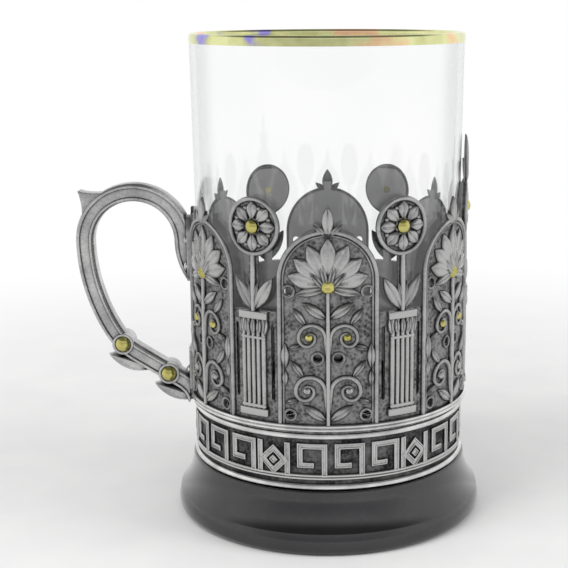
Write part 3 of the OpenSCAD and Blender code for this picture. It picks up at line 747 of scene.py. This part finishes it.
def model_moulding(name, radius, half_width):
    """A rounded moulding on the line of an arch, in millimetres."""
    begin()
    bpy.ops.mesh.primitive_circle_add(vertices=14, radius=half_width, fill_type="NGON",
                                      location=(radius, 0, RAIL_H))
    form = settle(name)
    edit_all()
    extrude((0, 0, ARCH_Z - RAIL_H))
    bpy.ops.mesh.spin(steps=30, angle=math.pi, center=(0, 0, ARCH_Z), axis=(0, 1, 0))
    extrude((0, 0, RAIL_H - ARCH_Z))
    close_up(MERGE)
    slice_back()
    report(form)
    return form


outer_moulding = model_moulding("outer_moulding", ARCH_R - ARCH_W / 2 + 0.1, 0.62)
inner_moulding = model_moulding("inner_moulding", ARCH_R - ARCH_W - 0.1, 0.32)

# %% [markdown]
# The wall is pierced with round holes, and each hole has a raised ring round it, an eyelet. It is a ring
# with a round section that is cut off at the wall.

# %% Eyelet
HOLE = 1.05
EYELET_W = 0.34


def model_hoop(name, radius, half_width, steps=24, sides=8):
    """A ring with a round section that lies against the wall."""
    begin()
    bpy.ops.mesh.primitive_torus_add(major_radius=radius, minor_radius=half_width, major_segments=steps,
                                     minor_segments=sides, rotation=(math.pi / 2, 0, 0))
    form = settle(name)
    slice_back()
    report(form)
    return form


eyelet = model_hoop("eyelet", HOLE + 0.3, EYELET_W)

# %% [markdown]
# Now the panel is laid out as a goldsmith would lay it out in wax: two pairs of scrolls and leaves on a
# stem, a fan of petals under the arch, a leaf on its crest and a few eyelets.

# %% Panel laid flat
def put(form, at, size=(1, 1, 1), turn=0, flip=False):
    """A copy of a form at x and z in millimetres. size is width, rise and length."""
    piece = own_copy(form)
    piece.scale = (-size[0] if flip else size[0], size[1], size[2])
    piece.rotation_euler = (0, math.radians(turn), 0)
    piece.location = (at[0], 0, at[1])
    return piece


def gather(parts, name):
    """Joins flat copies into one piece, with every face turned outwards."""
    take(*parts)
    settle()
    bpy.ops.object.join()
    close_up()
    piece = bpy.context.object
    piece.name = name
    return piece


def fan(form, foot, width, rise, leaves):
    """Leaves spread from one foot: pairs of a length and a turn, where an upright leaf is single."""
    return [put(form, foot, (width, rise, length), side * turn)
            for length, turn in leaves for side in ((1, -1) if turn else (1,))]


FAN_Z = ARCH_Z - 1.2
FAN_L = ARCH_R - ARCH_W - 0.5 + 1.2
CREST_Z = ARCH_Z + ARCH_R - ARCH_W
SCROLLS = ((10.2, 1.0), (23.0, 0.9))
EYELETS = ((ARCH_R * 0.76, ARCH_Z * 0.93), (ARCH_R * 0.74, ARCH_Z * 0.12), (ARCH_R * 0.2, ARCH_Z * 0.5))
SIDE_LEAF = (ARCH_R * 0.84, ARCH_Z * 0.42)

parts = [put(outer_moulding, (0, 0)), put(inner_moulding, (0, 0))]
parts += fan(petal_form, (0, FAN_Z), 4.3, 2.0,
             [(FAN_L, 0), (FAN_L * 0.95, 26), (FAN_L * 0.9, 51), (FAN_L * 0.86, 76)])
parts += fan(leaf_form, (0, ARCH_Z - 2.6), 2.0, 2.5, [(7.6, 13), (7.0, 40)])
drop_parts = [put(berry_form, (0, FAN_Z), (1.9, 1.35, 1.9))]
for side in (1, -1):
    parts.append(put(leaf_form, (0, ARCH_Z - 1.5), (2.6, 1.8, 8.0), side * 103))
    for z, share in SCROLLS:
        parts.append(put(scroll_form, (-side * SCROLL_R * share, z), (share, 1, share), flip=side < 0))
        eyes = drop_parts if share < 1 else parts
        eyes.append(put(berry_form, (-side * SCROLL_R * share * 1.2, z + 0.2), (1.05, 1.0, 1.05)))
        parts.append(put(leaf_form, (-side * 5.6 * share, z + 3.3 * share), (1.9, 1.7, 5.2), -side * 38))
        parts.append(put(leaf_form, (-side * 6.6 * share, z - 2.0 * share), (1.7, 1.7, 3.7), -side * 106))
    for x, z in EYELETS:
        parts.append(put(eyelet, (side * x, z)))
    for z in (2.9, 27.4):
        parts.append(put(leaf_form, (0, z), (2.6, 1.9, 7.2), side * 56))
    for size, turn in (((2.2, 1.8, 6.4), 0), ((1.6, 1.5, 4.2), 180)):
        parts.append(put(leaf_form, (side * SIDE_LEAF[0], SIDE_LEAF[1]), size, turn))
parts.append(put(reed_form, (0, RAIL_H), (1.15, 1.7, ARCH_Z - RAIL_H - 2)))
parts.append(put(leaf_form, (0, CREST_Z - 0.6), (3.0, 2.0, 7.0)))
parts += fan(leaf_form, (0, CREST_Z - 0.4), 1.7, 1.6, [(4.6, 48)])
panel = gather(parts, "arch_panel_flat")
drops = gather(drop_parts, "gilt_drops_flat")
report(panel)

# %% [markdown]
# The panel is lifted to its height, turned to metres and bent: the Simple Deform modifier rolls it about
# the sleeve's axis, by its own width divided by the radius. Then it is copied to the six bays.

# %% Bending on the wall
def to_metres(piece, height=0.0):
    """Turns a piece to metres and lifts it to a height, both from millimetres."""
    take(piece)
    piece.scale = (MM, MM, MM)
    piece.location = (0, 0, height * MM)
    settle()


def bend_on(piece, radius, height):
    """Rolls a flat piece, in millimetres, onto the front of a wall and turns it to metres."""
    to_metres(piece, height)
    across = [point.co.x for point in piece.data.vertices]
    modify(piece, "SIMPLE_DEFORM", deform_method="BEND", deform_axis="Z",
           angle=(max(across) - min(across)) / (radius * MM))
    piece.location = (0, -radius * MM, 0)
    settle()
    smooth(piece)


def turned_copy(piece, name, degrees):
    """A copy with its own mesh, turned about the axis of the holder."""
    copy = own_copy(piece, name)
    take(copy)
    copy.rotation_euler = (0, 0, math.radians(degrees))
    return settle()


def dress(piece, body, slot, material, *nodes):
    """Gives a finished piece its metal and its body, and hides the CAD nodes that it stands for. slot is
    not used.
    """
    piece.data.materials.clear()
    piece.data.materials.append(material)
    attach(piece, body)
    if nodes:
        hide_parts(*nodes)


BAYS = 6
BAY_TURN = 360 / BAYS
bend_on(panel, RELIEF_IN, SLEEVE_Z)
bend_on(drops, RELIEF_IN, SLEEVE_Z)
for i in range(BAYS):
    turn = i * BAY_TURN
    casting = turned_copy(panel, "arch_panel_%d" % (i + 1), turn)
    dress(casting, "holder", "holder_metal", old_relief, "arch_panels")
    dress(turned_copy(drops, "gilt_drops_%d" % (i + 1), turn), "holder", "gilding", gilt)
print("arch panels:", BAYS)

# %% [markdown]
# The pillars are reeded, and the capital is a row of small leaves under a moulded block. The blocks are
# cut into strips across, so that they can bend.

# %% Pillar
PILLAR_W = 7.6
BLOCK_H = 1.9
PILLAR_TOP = 28.7
PILLAR_FOOT = 3.4
SHAFT_Z = PILLAR_FOOT + BLOCK_H
CAPITAL_Z = PILLAR_TOP - BLOCK_H


def model_block(name, width, height, rise):
    """A block with rounded edges, cut into strips across, standing on the origin."""
    begin()
    bpy.ops.mesh.primitive_cube_add(size=1, location=(0, 0, height / 2))
    bpy.context.object.scale = (width, 2 * rise, height)
    form = settle(name)
    round_edges(form, 0.32)
    for x in (-0.3, -0.1, 0.1, 0.3):
        cut((x * width, 0, 0), (1, 0, 0))
    slice_back()
    return form


wide_block = model_block("wide_block", PILLAR_W, BLOCK_H, 1.0)
slim_block = model_block("slim_block", PILLAR_W * 0.86, BLOCK_H * 0.55, 0.8)
parts = [put(wide_block, (0, PILLAR_FOOT)), put(slim_block, (0, SHAFT_Z)), put(wide_block, (0, CAPITAL_Z))]
for i in range(-2, 3):
    parts.append(put(reed_form, (i * 1.32, SHAFT_Z), (1.2, 1.5, 23)))
    parts.append(put(leaf_form, (i * 1.4, CAPITAL_Z - 4.2), (1.7, 2.3, 4.9), i * 4))
parts.append(put(slim_block, (0, CAPITAL_Z - 4.8), (1, 1, 0.8)))
pillar = gather(parts, "pillar_flat")
bend_on(pillar, RELIEF_IN, SLEEVE_Z)
report(pillar, MM)

# %% [markdown]
# A rosette is a ring with eight petals round the gilt boss, on a stem that springs from two leaves. The
# one opposite the handle carries a finial: three leaves that stand up free of the wall.

# %% Rosette
MEDAL_Z = 48.5
MEDAL_R = 7.0
BOSS_R = 1.6
PETALS = 8
PETAL_FROM = 1.1
PEARL_R = 4.6
STEM_L = MEDAL_Z - MEDAL_R - PILLAR_TOP + 0.6
FINIAL = (0, MEDAL_Z + MEDAL_R - 1.3)


def spoke(turn, reach):
    """The place at a distance from the middle of the rosette, with its turn from upright in degrees."""
    return (math.sin(math.radians(turn)) * reach, MEDAL_Z + math.cos(math.radians(turn)) * reach)


rim_hoop = model_hoop("rim_hoop", MEDAL_R - 0.62, 0.6, 44, 12)
seat_hoop = model_hoop("seat_hoop", BOSS_R + 0.15, 0.36)
parts = [put(rim_hoop, (0, MEDAL_Z)), put(seat_hoop, (0, MEDAL_Z))]
for i in range(PETALS):
    turn = i * 360 / PETALS
    parts.append(put(petal_form, spoke(turn, PETAL_FROM), (3.3, 1.9, 4.9), turn))
    parts.append(put(berry_form, spoke(turn + 180 / PETALS, PEARL_R), (0.62, 0.7, 0.62)))
parts.append(put(reed_form, (0, PILLAR_TOP), (1.3, 1.6, STEM_L)))
for side in (1, -1):
    parts.append(put(leaf_form, (0, PILLAR_TOP - 0.2), (3.4, 2.0, 9.8), side * 31))
    parts.append(put(leaf_form, (0, PILLAR_TOP + 1.0), (1.6, 1.6, 6.0), side * 12))
rosette = gather(parts, "rosette_flat")
finial = [put(leaf_form, FINIAL, (3.2, 2.0, 12.3))] + fan(leaf_form, FINIAL, 2.5, 1.8, [(7.0, 32)])
crown = gather([put(rosette, (0, 0))] + finial, "crowned_rosette_flat")
bend_on(rosette, RELIEF_IN, SLEEVE_Z)
bend_on(crown, RELIEF_IN, SLEEVE_Z)
report(rosette, MM)

# %% [markdown]
# Pillars and rosettes stand between the arches, except at the handle. Then the forms are deleted.

# %% Pillars and rosettes round the sleeve
FRONT = 270
HANDLE_BAY = BAYS // 2

for i in range(BAYS):
    if i == HANDLE_BAY:
        continue
    turn = i * BAY_TURN - FRONT
    column = turned_copy(pillar, "pillar_%d" % (i + 1), turn)
    dress(column, "holder", "holder_metal", old_relief, "pillars")
    flower = turned_copy(crown if i == 0 else rosette, "rosette_%d" % (i + 1), turn)
    dress(flower, "holder", "holder_metal", old_relief, "rosettes")
clear_away(eyelet, leaf_form, berry_form, scroll_form, outer_moulding, inner_moulding, panel, drops,
           reed_form, wide_block, slim_block, pillar, rim_hoop, seat_hoop, rosette, crown)

# %% [markdown]
# The handle is one casting: a strap with two beads along each edge, a spur for the thumb, two leaves
# under the lower arm and two seats for the gilt studs. A section is swept along the line of the strap by
# five spins and one extrusion. The same sweep makes the broad middle and the beads.

# %% The line of the handle
LOOP = (-(SLEEVE_OUT + 14.4), 69.0)
LOOP_R = 12.4
BACK_R = 46.0
BACK_TURN = 30
HEEL_R = 18.0
HEEL_TURN = 28
ARM_L = 13.3
TOE_R = 8.0
TOE_TURN = 48
TAIL_R = 16.0
TAIL_TURN = 36
SEAT_X = -35.62


def step_to(start, length, degrees):
    """The point at a length and direction from a start, with degrees from +X towards +Z."""
    turn = math.radians(degrees)
    return (start[0] + length * math.cos(turn), start[1] + length * math.sin(turn))


TAIL = (LOOP[0] + LOOP_R + TAIL_R, LOOP[1])
BACK = (LOOP[0] - LOOP_R + BACK_R, LOOP[1])
HEEL = step_to(BACK, BACK_R - HEEL_R, 180 + BACK_TURN)
ARM_TURN = 180 + BACK_TURN + HEEL_TURN
ARM_START = step_to(HEEL, HEEL_R, ARM_TURN)
ARM_END = step_to(ARM_START, ARM_L, ARM_TURN + 90)
TOE = step_to(ARM_END, TOE_R, ARM_TURN)
ARCS = ((TAIL, -TAIL_TURN, 8), (LOOP, 180, 36), (BACK, BACK_TURN, 16), (HEEL, HEEL_TURN, 8))


def bend_round(centre, degrees, steps):
    """Spins the end of the strap about a centre in the plane of the handle."""
    bpy.ops.mesh.spin(steps=steps, angle=math.radians(degrees), center=(centre[0], 0, centre[1]),
                      axis=(0, 1, 0))


def sweep(name, half_t, half_y, t=0, y=0, sides=16):
    """Sweeps a rounded section along the strap. t is outwards in the loop's plane, y across it."""
    begin()
    bpy.ops.mesh.primitive_circle_add(vertices=sides, radius=1, fill_type="NGON")
    form = bpy.context.object
    for point in form.data.vertices:
        # A squared circle: flat on its faces and round at its corners
        u, v = point.co.x, point.co.y
        grow = (abs(u) ** 5 + abs(v) ** 5) ** -0.2
        point.co.x, point.co.y = u * grow, v * grow
    start = step_to(TAIL, TAIL_R - t, 180 + TAIL_TURN)
    form.scale = (half_t, half_y, 1)
    form.location = (start[0], y, start[1])
    form.rotation_euler = (0, -math.radians(TAIL_TURN), 0)
    settle(name)
    edit_all()
    for centre, degrees, steps in ARCS:
        bend_round(centre, degrees, steps)
    run = step_to((0, 0), ARM_L, ARM_TURN + 90)
    extrude((run[0], 0, run[1]))
    bend_round(TOE, -TOE_TURN, 10)
    close_up(MERGE)
    cut((SEAT_X, 0, 0), (1, 0, 0), use_fill=True, clear_outer=True)
    leave()
    report(form)
    return form


STRAP_T = 4.6
STRAP_HALF_Y = 2.55
BEAD = 0.42
BEAD_T = 1.5
BEAD_Y = 2.58
parts = [sweep("strap", STRAP_T / 2, STRAP_HALF_Y, sides=32)]
parts += [sweep("bead", BEAD, BEAD, t * BEAD_T, y * BEAD_Y, 12) for t in (-1, 1) for y in (-1, 1)]

# %% [markdown]
# The spur is a flat outline with two hollow sides, like a thorn, given a thickness and rounded.

# %% Spur
SPUR_L = 6.4
SPUR_TURN = 137
SPUR_SPREAD = 36
SPUR_COVE = 14.0
SPUR_HALF_Y = 2.2
ROOT_R = LOOP_R + STRAP_T * 0.4


def hollow(a, b, radius, steps=8):
    """Points on an arc from a to b that is hollow on its left side."""
    dx, dz = b[0] - a[0], b[1] - a[1]
    length = math.hypot(dx, dz)
    rise = math.sqrt(radius ** 2 - length ** 2 / 4) / length
    centre = ((a[0] + b[0]) / 2 - rise * dz, (a[1] + b[1]) / 2 + rise * dx)
    start = math.atan2(a[1] - centre[1], a[0] - centre[0])
    turn = 2 * math.asin(length / 2 / radius)
    return [(centre[0] + radius * math.cos(start + turn * k / steps),
             centre[1] + radius * math.sin(start + turn * k / steps)) for k in range(steps + 1)]


upper_root = step_to(LOOP, ROOT_R, SPUR_TURN - SPUR_SPREAD)
lower_root = step_to(LOOP, ROOT_R, SPUR_TURN + SPUR_SPREAD)
tip = step_to(LOOP, LOOP_R + SPUR_L, SPUR_TURN)
outline = [step_to(LOOP, LOOP_R - 1, SPUR_TURN)]
outline += hollow(tip, upper_root, SPUR_COVE)[::-1] + hollow(lower_root, tip, SPUR_COVE)[::-1][1:]
spur = drawn("spur", [(x, -SPUR_HALF_Y, z) for x, z in outline])
extrude((0, 2 * SPUR_HALF_Y, 0))
close_up()
round_edges(spur, 0.5, 50)
report(spur)

# %% [markdown]
# Each stud has a round seat that goes through the arm and is sunk on both faces, and a leaf that springs
# from under the arm and points past the stud. Then everything is joined to one casting.

# %% Stud seats, leaves and the whole handle
STUD_R = 1.9
SEAT_R = 2.75
SEAT_D = 6.3
SUNK = 0.45
SEAT_ROUND = 0.22
LEAF_STEP = 7.2

parts.append(spur)
studs = [step_to(HEEL, HEEL_R, 180 + BACK_TURN + HEEL_TURN / 2),
         step_to(ARM_START, ARM_L * 0.72, ARM_TURN + 90)]
for x, z in studs:
    begin()
    bpy.ops.mesh.primitive_cylinder_add(vertices=40, radius=SEAT_R, depth=SEAT_D, location=(x, 0, z),
                                        rotation=(math.pi / 2, 0, 0))
    seat = settle("stud_seat")
    for side in (-1, 1):
        pick("FACE", lambda face: face.normal.y * side > 0.9)
        bpy.ops.mesh.inset(thickness=SEAT_R - STUD_R - 0.1)
        extrude((0, -SUNK * side, 0))
    leave()
    round_edges(seat, SEAT_ROUND)
    parts.append(seat)
for x, z in studs:
    parts.append(put(whole_leaf, (x + LEAF_STEP, z - LEAF_STEP), (4.2, 6.9, 12.0), -70))
handle = gather(parts, "handle_casting")
to_metres(handle)
smooth(handle)
dress(handle, "holder", "holder_metal", old_strap, "handle")
clear_away(whole_leaf)
report(handle, MM)

# %% [markdown]
# The drum is a ring with a frieze of keys on it, and a lozenge after every third key. They were struck
# with a die: their edges are round and a groove runs along each stroke. A flat outline is filled, raised
# and shaped by four insets, each at its own depth. Cuts across make it fit to be bent.

# %% Key and lozenge
CELLS = 24
STROKE_W = 1.35
KEY_H = 9.0
KEY_GAP = 0.5
RAISED = 0.5
EMBEDDED = 0.2
ROUNDING = 0.13
INSETS = ((0.05, 0.09), (0.1, 0.04), (0.14, 0.0), (0.1, -0.16))
NAIL_R = 1.15
WALL_R = DRUM_OUT - RAISED
PITCH = 2 * WALL_R * math.sin(math.pi / CELLS)


def struck(name, outline, hole=False):
    """A raised form with its outline in millimetres, round at its edges and grooved along its strokes."""
    form = drawn(name, [(x, EMBEDDED, z) for x, z in outline])
    if hole:
        bpy.ops.mesh.inset(thickness=STROKE_W)
        bpy.ops.mesh.delete(type="FACE")
        bpy.ops.mesh.select_all(action="SELECT")
    extrude((0, -EMBEDDED - RAISED + ROUNDING, 0))
    close_up()
    pick("FACE", lambda face: face.normal.y < -0.9)
    for width, rise in INSETS:
        bpy.ops.mesh.inset(thickness=width, depth=rise)
    for x in range(-4, 5):
        cut((x, 0, 0), (1, 0, 0))
    leave()
    report(form)
    return form


def lozenge(half):
    """The four corners of a lozenge."""
    return [(half, 0), (0, half), (-half, 0), (0, -half)]


half_stroke = STROKE_W / 2
right = (PITCH - KEY_GAP) / 2
left = -right + 0.14 * 2 * right
hook = left + 0.48 * 2 * right
top = KEY_H / 2
low_bar = top - 0.67 * KEY_H
bottom = -top + half_stroke
post_x = right - half_stroke
key_form = struck("key_form", [
    (right, bottom), (right, top), (left, top), (left, low_bar), (hook, low_bar),
    (hook, low_bar + STROKE_W), (left + STROKE_W, low_bar + STROKE_W), (left + STROKE_W, top - STROKE_W),
    (right - STROKE_W, top - STROKE_W), (right - STROKE_W, bottom)])
frame_form = struck("frame_form", lozenge((PITCH - STROKE_W) / 2), hole=True)
post_form = struck("post_form", [(half_stroke, bottom), (half_stroke, top), (-half_stroke, top),
                                 (-half_stroke, bottom)])
nail_form = struck("nail_form", lozenge(NAIL_R))
lozenge_form = gather([put(frame_form, (0, 0)), put(post_form, (post_x, 0)), put(post_form, (-post_x, 0)),
                       put(nail_form, (0, 0), (1, 1.2, 1))], "lozenge_form")

# %% [markdown]
# The ring under the keys is a section spun round the axis, with a double bead at its foot. The keys are
# bent to its radius and copied round it.

# %% Drum
ROUND = 160
DRUM_WALL = 0.9
BEAD_EDGE = 0.16
TOP_EDGE = 0.1


def spun(name, section):
    """A closed section of radius and height pairs, in millimetres, spun once round the axis."""
    piece = drawn(name, [(r * MM, 0, z * MM) for r, z in section], filled=False)
    bpy.ops.mesh.spin(steps=ROUND, angle=math.tau, center=(0, 0, 0), axis=(0, 0, 1))
    close_up(0.002 * MM)
    return piece


fillets = ("lower_fillet", "upper_fillet")
frieze_z = sum(low(name)[2] + high(name)[2] for name in fillets) / 4
for form in (key_form, lozenge_form):
    bend_on(form, WALL_R, frieze_z)
cells = []
for i in range(CELLS):
    turn = (i + 0.5) * 360 / CELLS + FRONT - 180
    cells.append(turned_copy(key_form if i % 4 else lozenge_form, "cell", turn))
drum_foot, drum_top = low("drum")[2], high("drum")[2]
bead_z = frieze_z - KEY_H / 2
bead_top = bead_z + STROKE_W
drum_ring = spun("drum_ring", [
    (WALL_R - DRUM_WALL, drum_foot), (WALL_R, drum_foot), (WALL_R, bead_z), (DRUM_OUT - BEAD_EDGE, bead_z),
    (DRUM_OUT, bead_z + BEAD_EDGE), (DRUM_OUT, bead_z + 0.5), (DRUM_OUT - BEAD_EDGE, bead_z + half_stroke),
    (DRUM_OUT, bead_top - 0.5), (DRUM_OUT, bead_top - BEAD_EDGE), (DRUM_OUT - BEAD_EDGE, bead_top),
    (WALL_R, bead_top), (WALL_R, drum_top - TOP_EDGE), (WALL_R - TOP_EDGE, drum_top),
    (WALL_R - DRUM_WALL, drum_top)])
frieze = gather([drum_ring] + cells, "frieze_drum")
smooth(frieze)
dress(frieze, "holder", "holder_metal", old_drum, "drum")
clear_away(key_form, frame_form, post_form, nail_form, lozenge_form, petal_form)
report(frieze, MM)

# %% [markdown]
# The sleeve's rail is two beads with a groove between them. Each is a half round section, spun like the
# ring of the drum.

# %% Rail
RAIL_BEADS = ((SLEEVE_Z + 0.6 + 0.4, 0.42), (SLEEVE_Z + 0.6 + 1.22, 0.38))
RAIL_BACK = RELIEF_OUT - 0.3
RAIL_R = RELIEF_OUT - 0.12
BEAD_STEPS = 8

parts = []
for z, swell in RAIL_BEADS:
    turns = [math.radians(-90 + 180 * k / BEAD_STEPS) for k in range(BEAD_STEPS + 1)]
    arc = [(RAIL_R + swell * math.cos(turn), z + swell * math.sin(turn)) for turn in turns]
    parts.append(spun("rail_bead", [(RAIL_BACK, z - swell)] + arc + [(RAIL_BACK, z + swell)]))
rail = gather(parts, "rail_beads")
smooth(rail)
dress(rail, "holder", "bright_metal", nickel)
report(rail, MM)

# %% [markdown]
# The foot is spun from sheet and its rim is rolled. Its section runs from the screw hole over the cove to
# the rim and back underneath. Spun round the axis, it gets its rings of edges beveled, wide at the rim.

# %% Foot
FOOT_H = 14.8
FOOT_R = high("foot")[0]
RIM_H = 5.0
ROLLED = 2.1
SHOULDER_R = DRUM_OUT - 0.5 + 1.2
COVE_R = 14.0
SHEET = 1.6
HOLE_R = 2.08
HEAD_R = 4.08
HEAD_H = 1.5


def pick_ring(z, radius, reach=0.1):
    """Selects the points at a height and near a radius, in millimetres."""
    pick("VERT", lambda point: (abs(point.co.z / MM - z) < 0.05
                                and abs(math.hypot(point.co.x, point.co.y) / MM - radius) < reach))


def bevel_ring(z, radius, width, segments, reach=0.1):
    """Rounds the ring of edges at a height and near a radius."""
    pick_ring(z, radius, reach)
    bpy.ops.mesh.select_mode(type="EDGE")
    bpy.ops.mesh.bevel(offset=width * MM, segments=segments, affect="EDGES", clamp_overlap=False)


cove = hollow((SHOULDER_R, FOOT_H), (FOOT_R, RIM_H), COVE_R, 14)
under = [(r - SHEET, min(z, FOOT_H - SHEET)) for r, z in cove[2:]][::-1]
section = [(HOLE_R, FOOT_H - HEAD_H), (HEAD_R, FOOT_H)] + cove + [(FOOT_R, 0), (FOOT_R - SHEET, 0)]
section += under + [(HOLE_R, FOOT_H - SHEET)]
spun_foot = spun("spun_foot", section)
bevel_ring(RIM_H, FOOT_R, ROLLED, 8)
bevel_ring(0, FOOT_R, ROLLED, 8)
bevel_ring(0, FOOT_R - SHEET, 0.3, 3)
bevel_ring(FOOT_H, SHOULDER_R, 0.4, 3)
leave()
smooth(spun_foot)
dress(spun_foot, "holder", "dark_metal", dark_foot, "foot")
report(spun_foot, MM)

# %% [markdown]
# The tea glass is pressed: a thick bottom, walls that widen a little, round corners and a fire-polished
# lip. A cylinder is widened at its top, inset and pushed down to hollow it, and its rings of edges are
# beveled. Cuts next to the round corners keep the shading of the walls straight.

# %% Tea glass
GLASS_BASE_R = 32.4
GLASS_WALL = 1.5
GLASS_BOTTOM = 5.0
CORNER_R = 3.2
LIP_ROUND = GLASS_WALL * 0.46
STAND_W = 5.0
KICK = 0.9
KICK_W = 1.4
GLASS_H = LIP_Z - FLOOR_Z

begin()
bpy.ops.mesh.primitive_cylinder_add(vertices=ROUND, radius=GLASS_BASE_R * MM, depth=GLASS_H * MM,
                                    location=(0, 0, (FLOOR_Z + GLASS_H / 2) * MM))
tumbler = settle("tumbler")
pick_ring(LIP_Z, GLASS_BASE_R, GLASS_BASE_R)
widen = LIP_R / GLASS_BASE_R
bpy.ops.transform.resize(value=(widen, widen, 1))
pick("FACE", lambda face: face.normal.z > 0.9)
bpy.ops.mesh.inset(thickness=GLASS_WALL * MM)
extrude((0, 0, (GLASS_BOTTOM - GLASS_H) * MM))
narrow = (GLASS_BASE_R - GLASS_WALL) / (LIP_R - GLASS_WALL)
bpy.ops.transform.resize(value=(narrow, narrow, 1))
pick("FACE", lambda face: face.normal.z < -0.9)
bpy.ops.mesh.inset(thickness=(CORNER_R + STAND_W) * MM)
bpy.ops.mesh.inset(thickness=KICK_W * MM)
bpy.ops.transform.translate(value=(0, 0, KICK * MM))
bevel_ring(FLOOR_Z, GLASS_BASE_R, CORNER_R, 8, 0.2)
bevel_ring(FLOOR_Z + GLASS_BOTTOM, GLASS_BASE_R - GLASS_WALL, CORNER_R, 8, 0.3)
bevel_ring(LIP_Z, LIP_R, LIP_ROUND, 5)
bevel_ring(LIP_Z, LIP_R - GLASS_WALL, LIP_ROUND, 5)
for z in (FLOOR_Z + CORNER_R + 0.3, FLOOR_Z + GLASS_BOTTOM + CORNER_R + 0.4, LIP_Z - 1.1):
    cut((0, 0, z * MM), (0, 0, 1))
leave()
smooth(tumbler)
report(tumbler, MM)

# %% [markdown]
# The gilding is painted over the lip and fired. So it is the top of a copy of the tumbler, with a
# thickness outwards, from a hair above the glass. The glass casts no shadow, since real glass lets the
# light in to the holder's inner side and a traced shadow would not.

# %% Gilt lip
GILT_H = LIP_Z - low("rim_gilding")[2] - 0.2
GILT_T = 0.14
GILT_GAP = 0.03

band = own_copy(tumbler, "gilt_lip")
take(band)
cut((0, 0, (LIP_Z - GILT_H) * MM), (0, 0, 1), clear_inner=True)
bpy.ops.mesh.select_all(action="SELECT")
bpy.ops.transform.shrink_fatten(value=GILT_GAP * MM)
leave()
modify(band, "SOLIDIFY", thickness=GILT_T * MM, offset=1)
smooth(band, 50)
dress(tumbler, "glass", "glass", clear, "tea_glass")
tumbler.visible_shadow = False
dress(band, "glass", "gilding", lip_gilt, "rim_gilding")
report(band, MM)
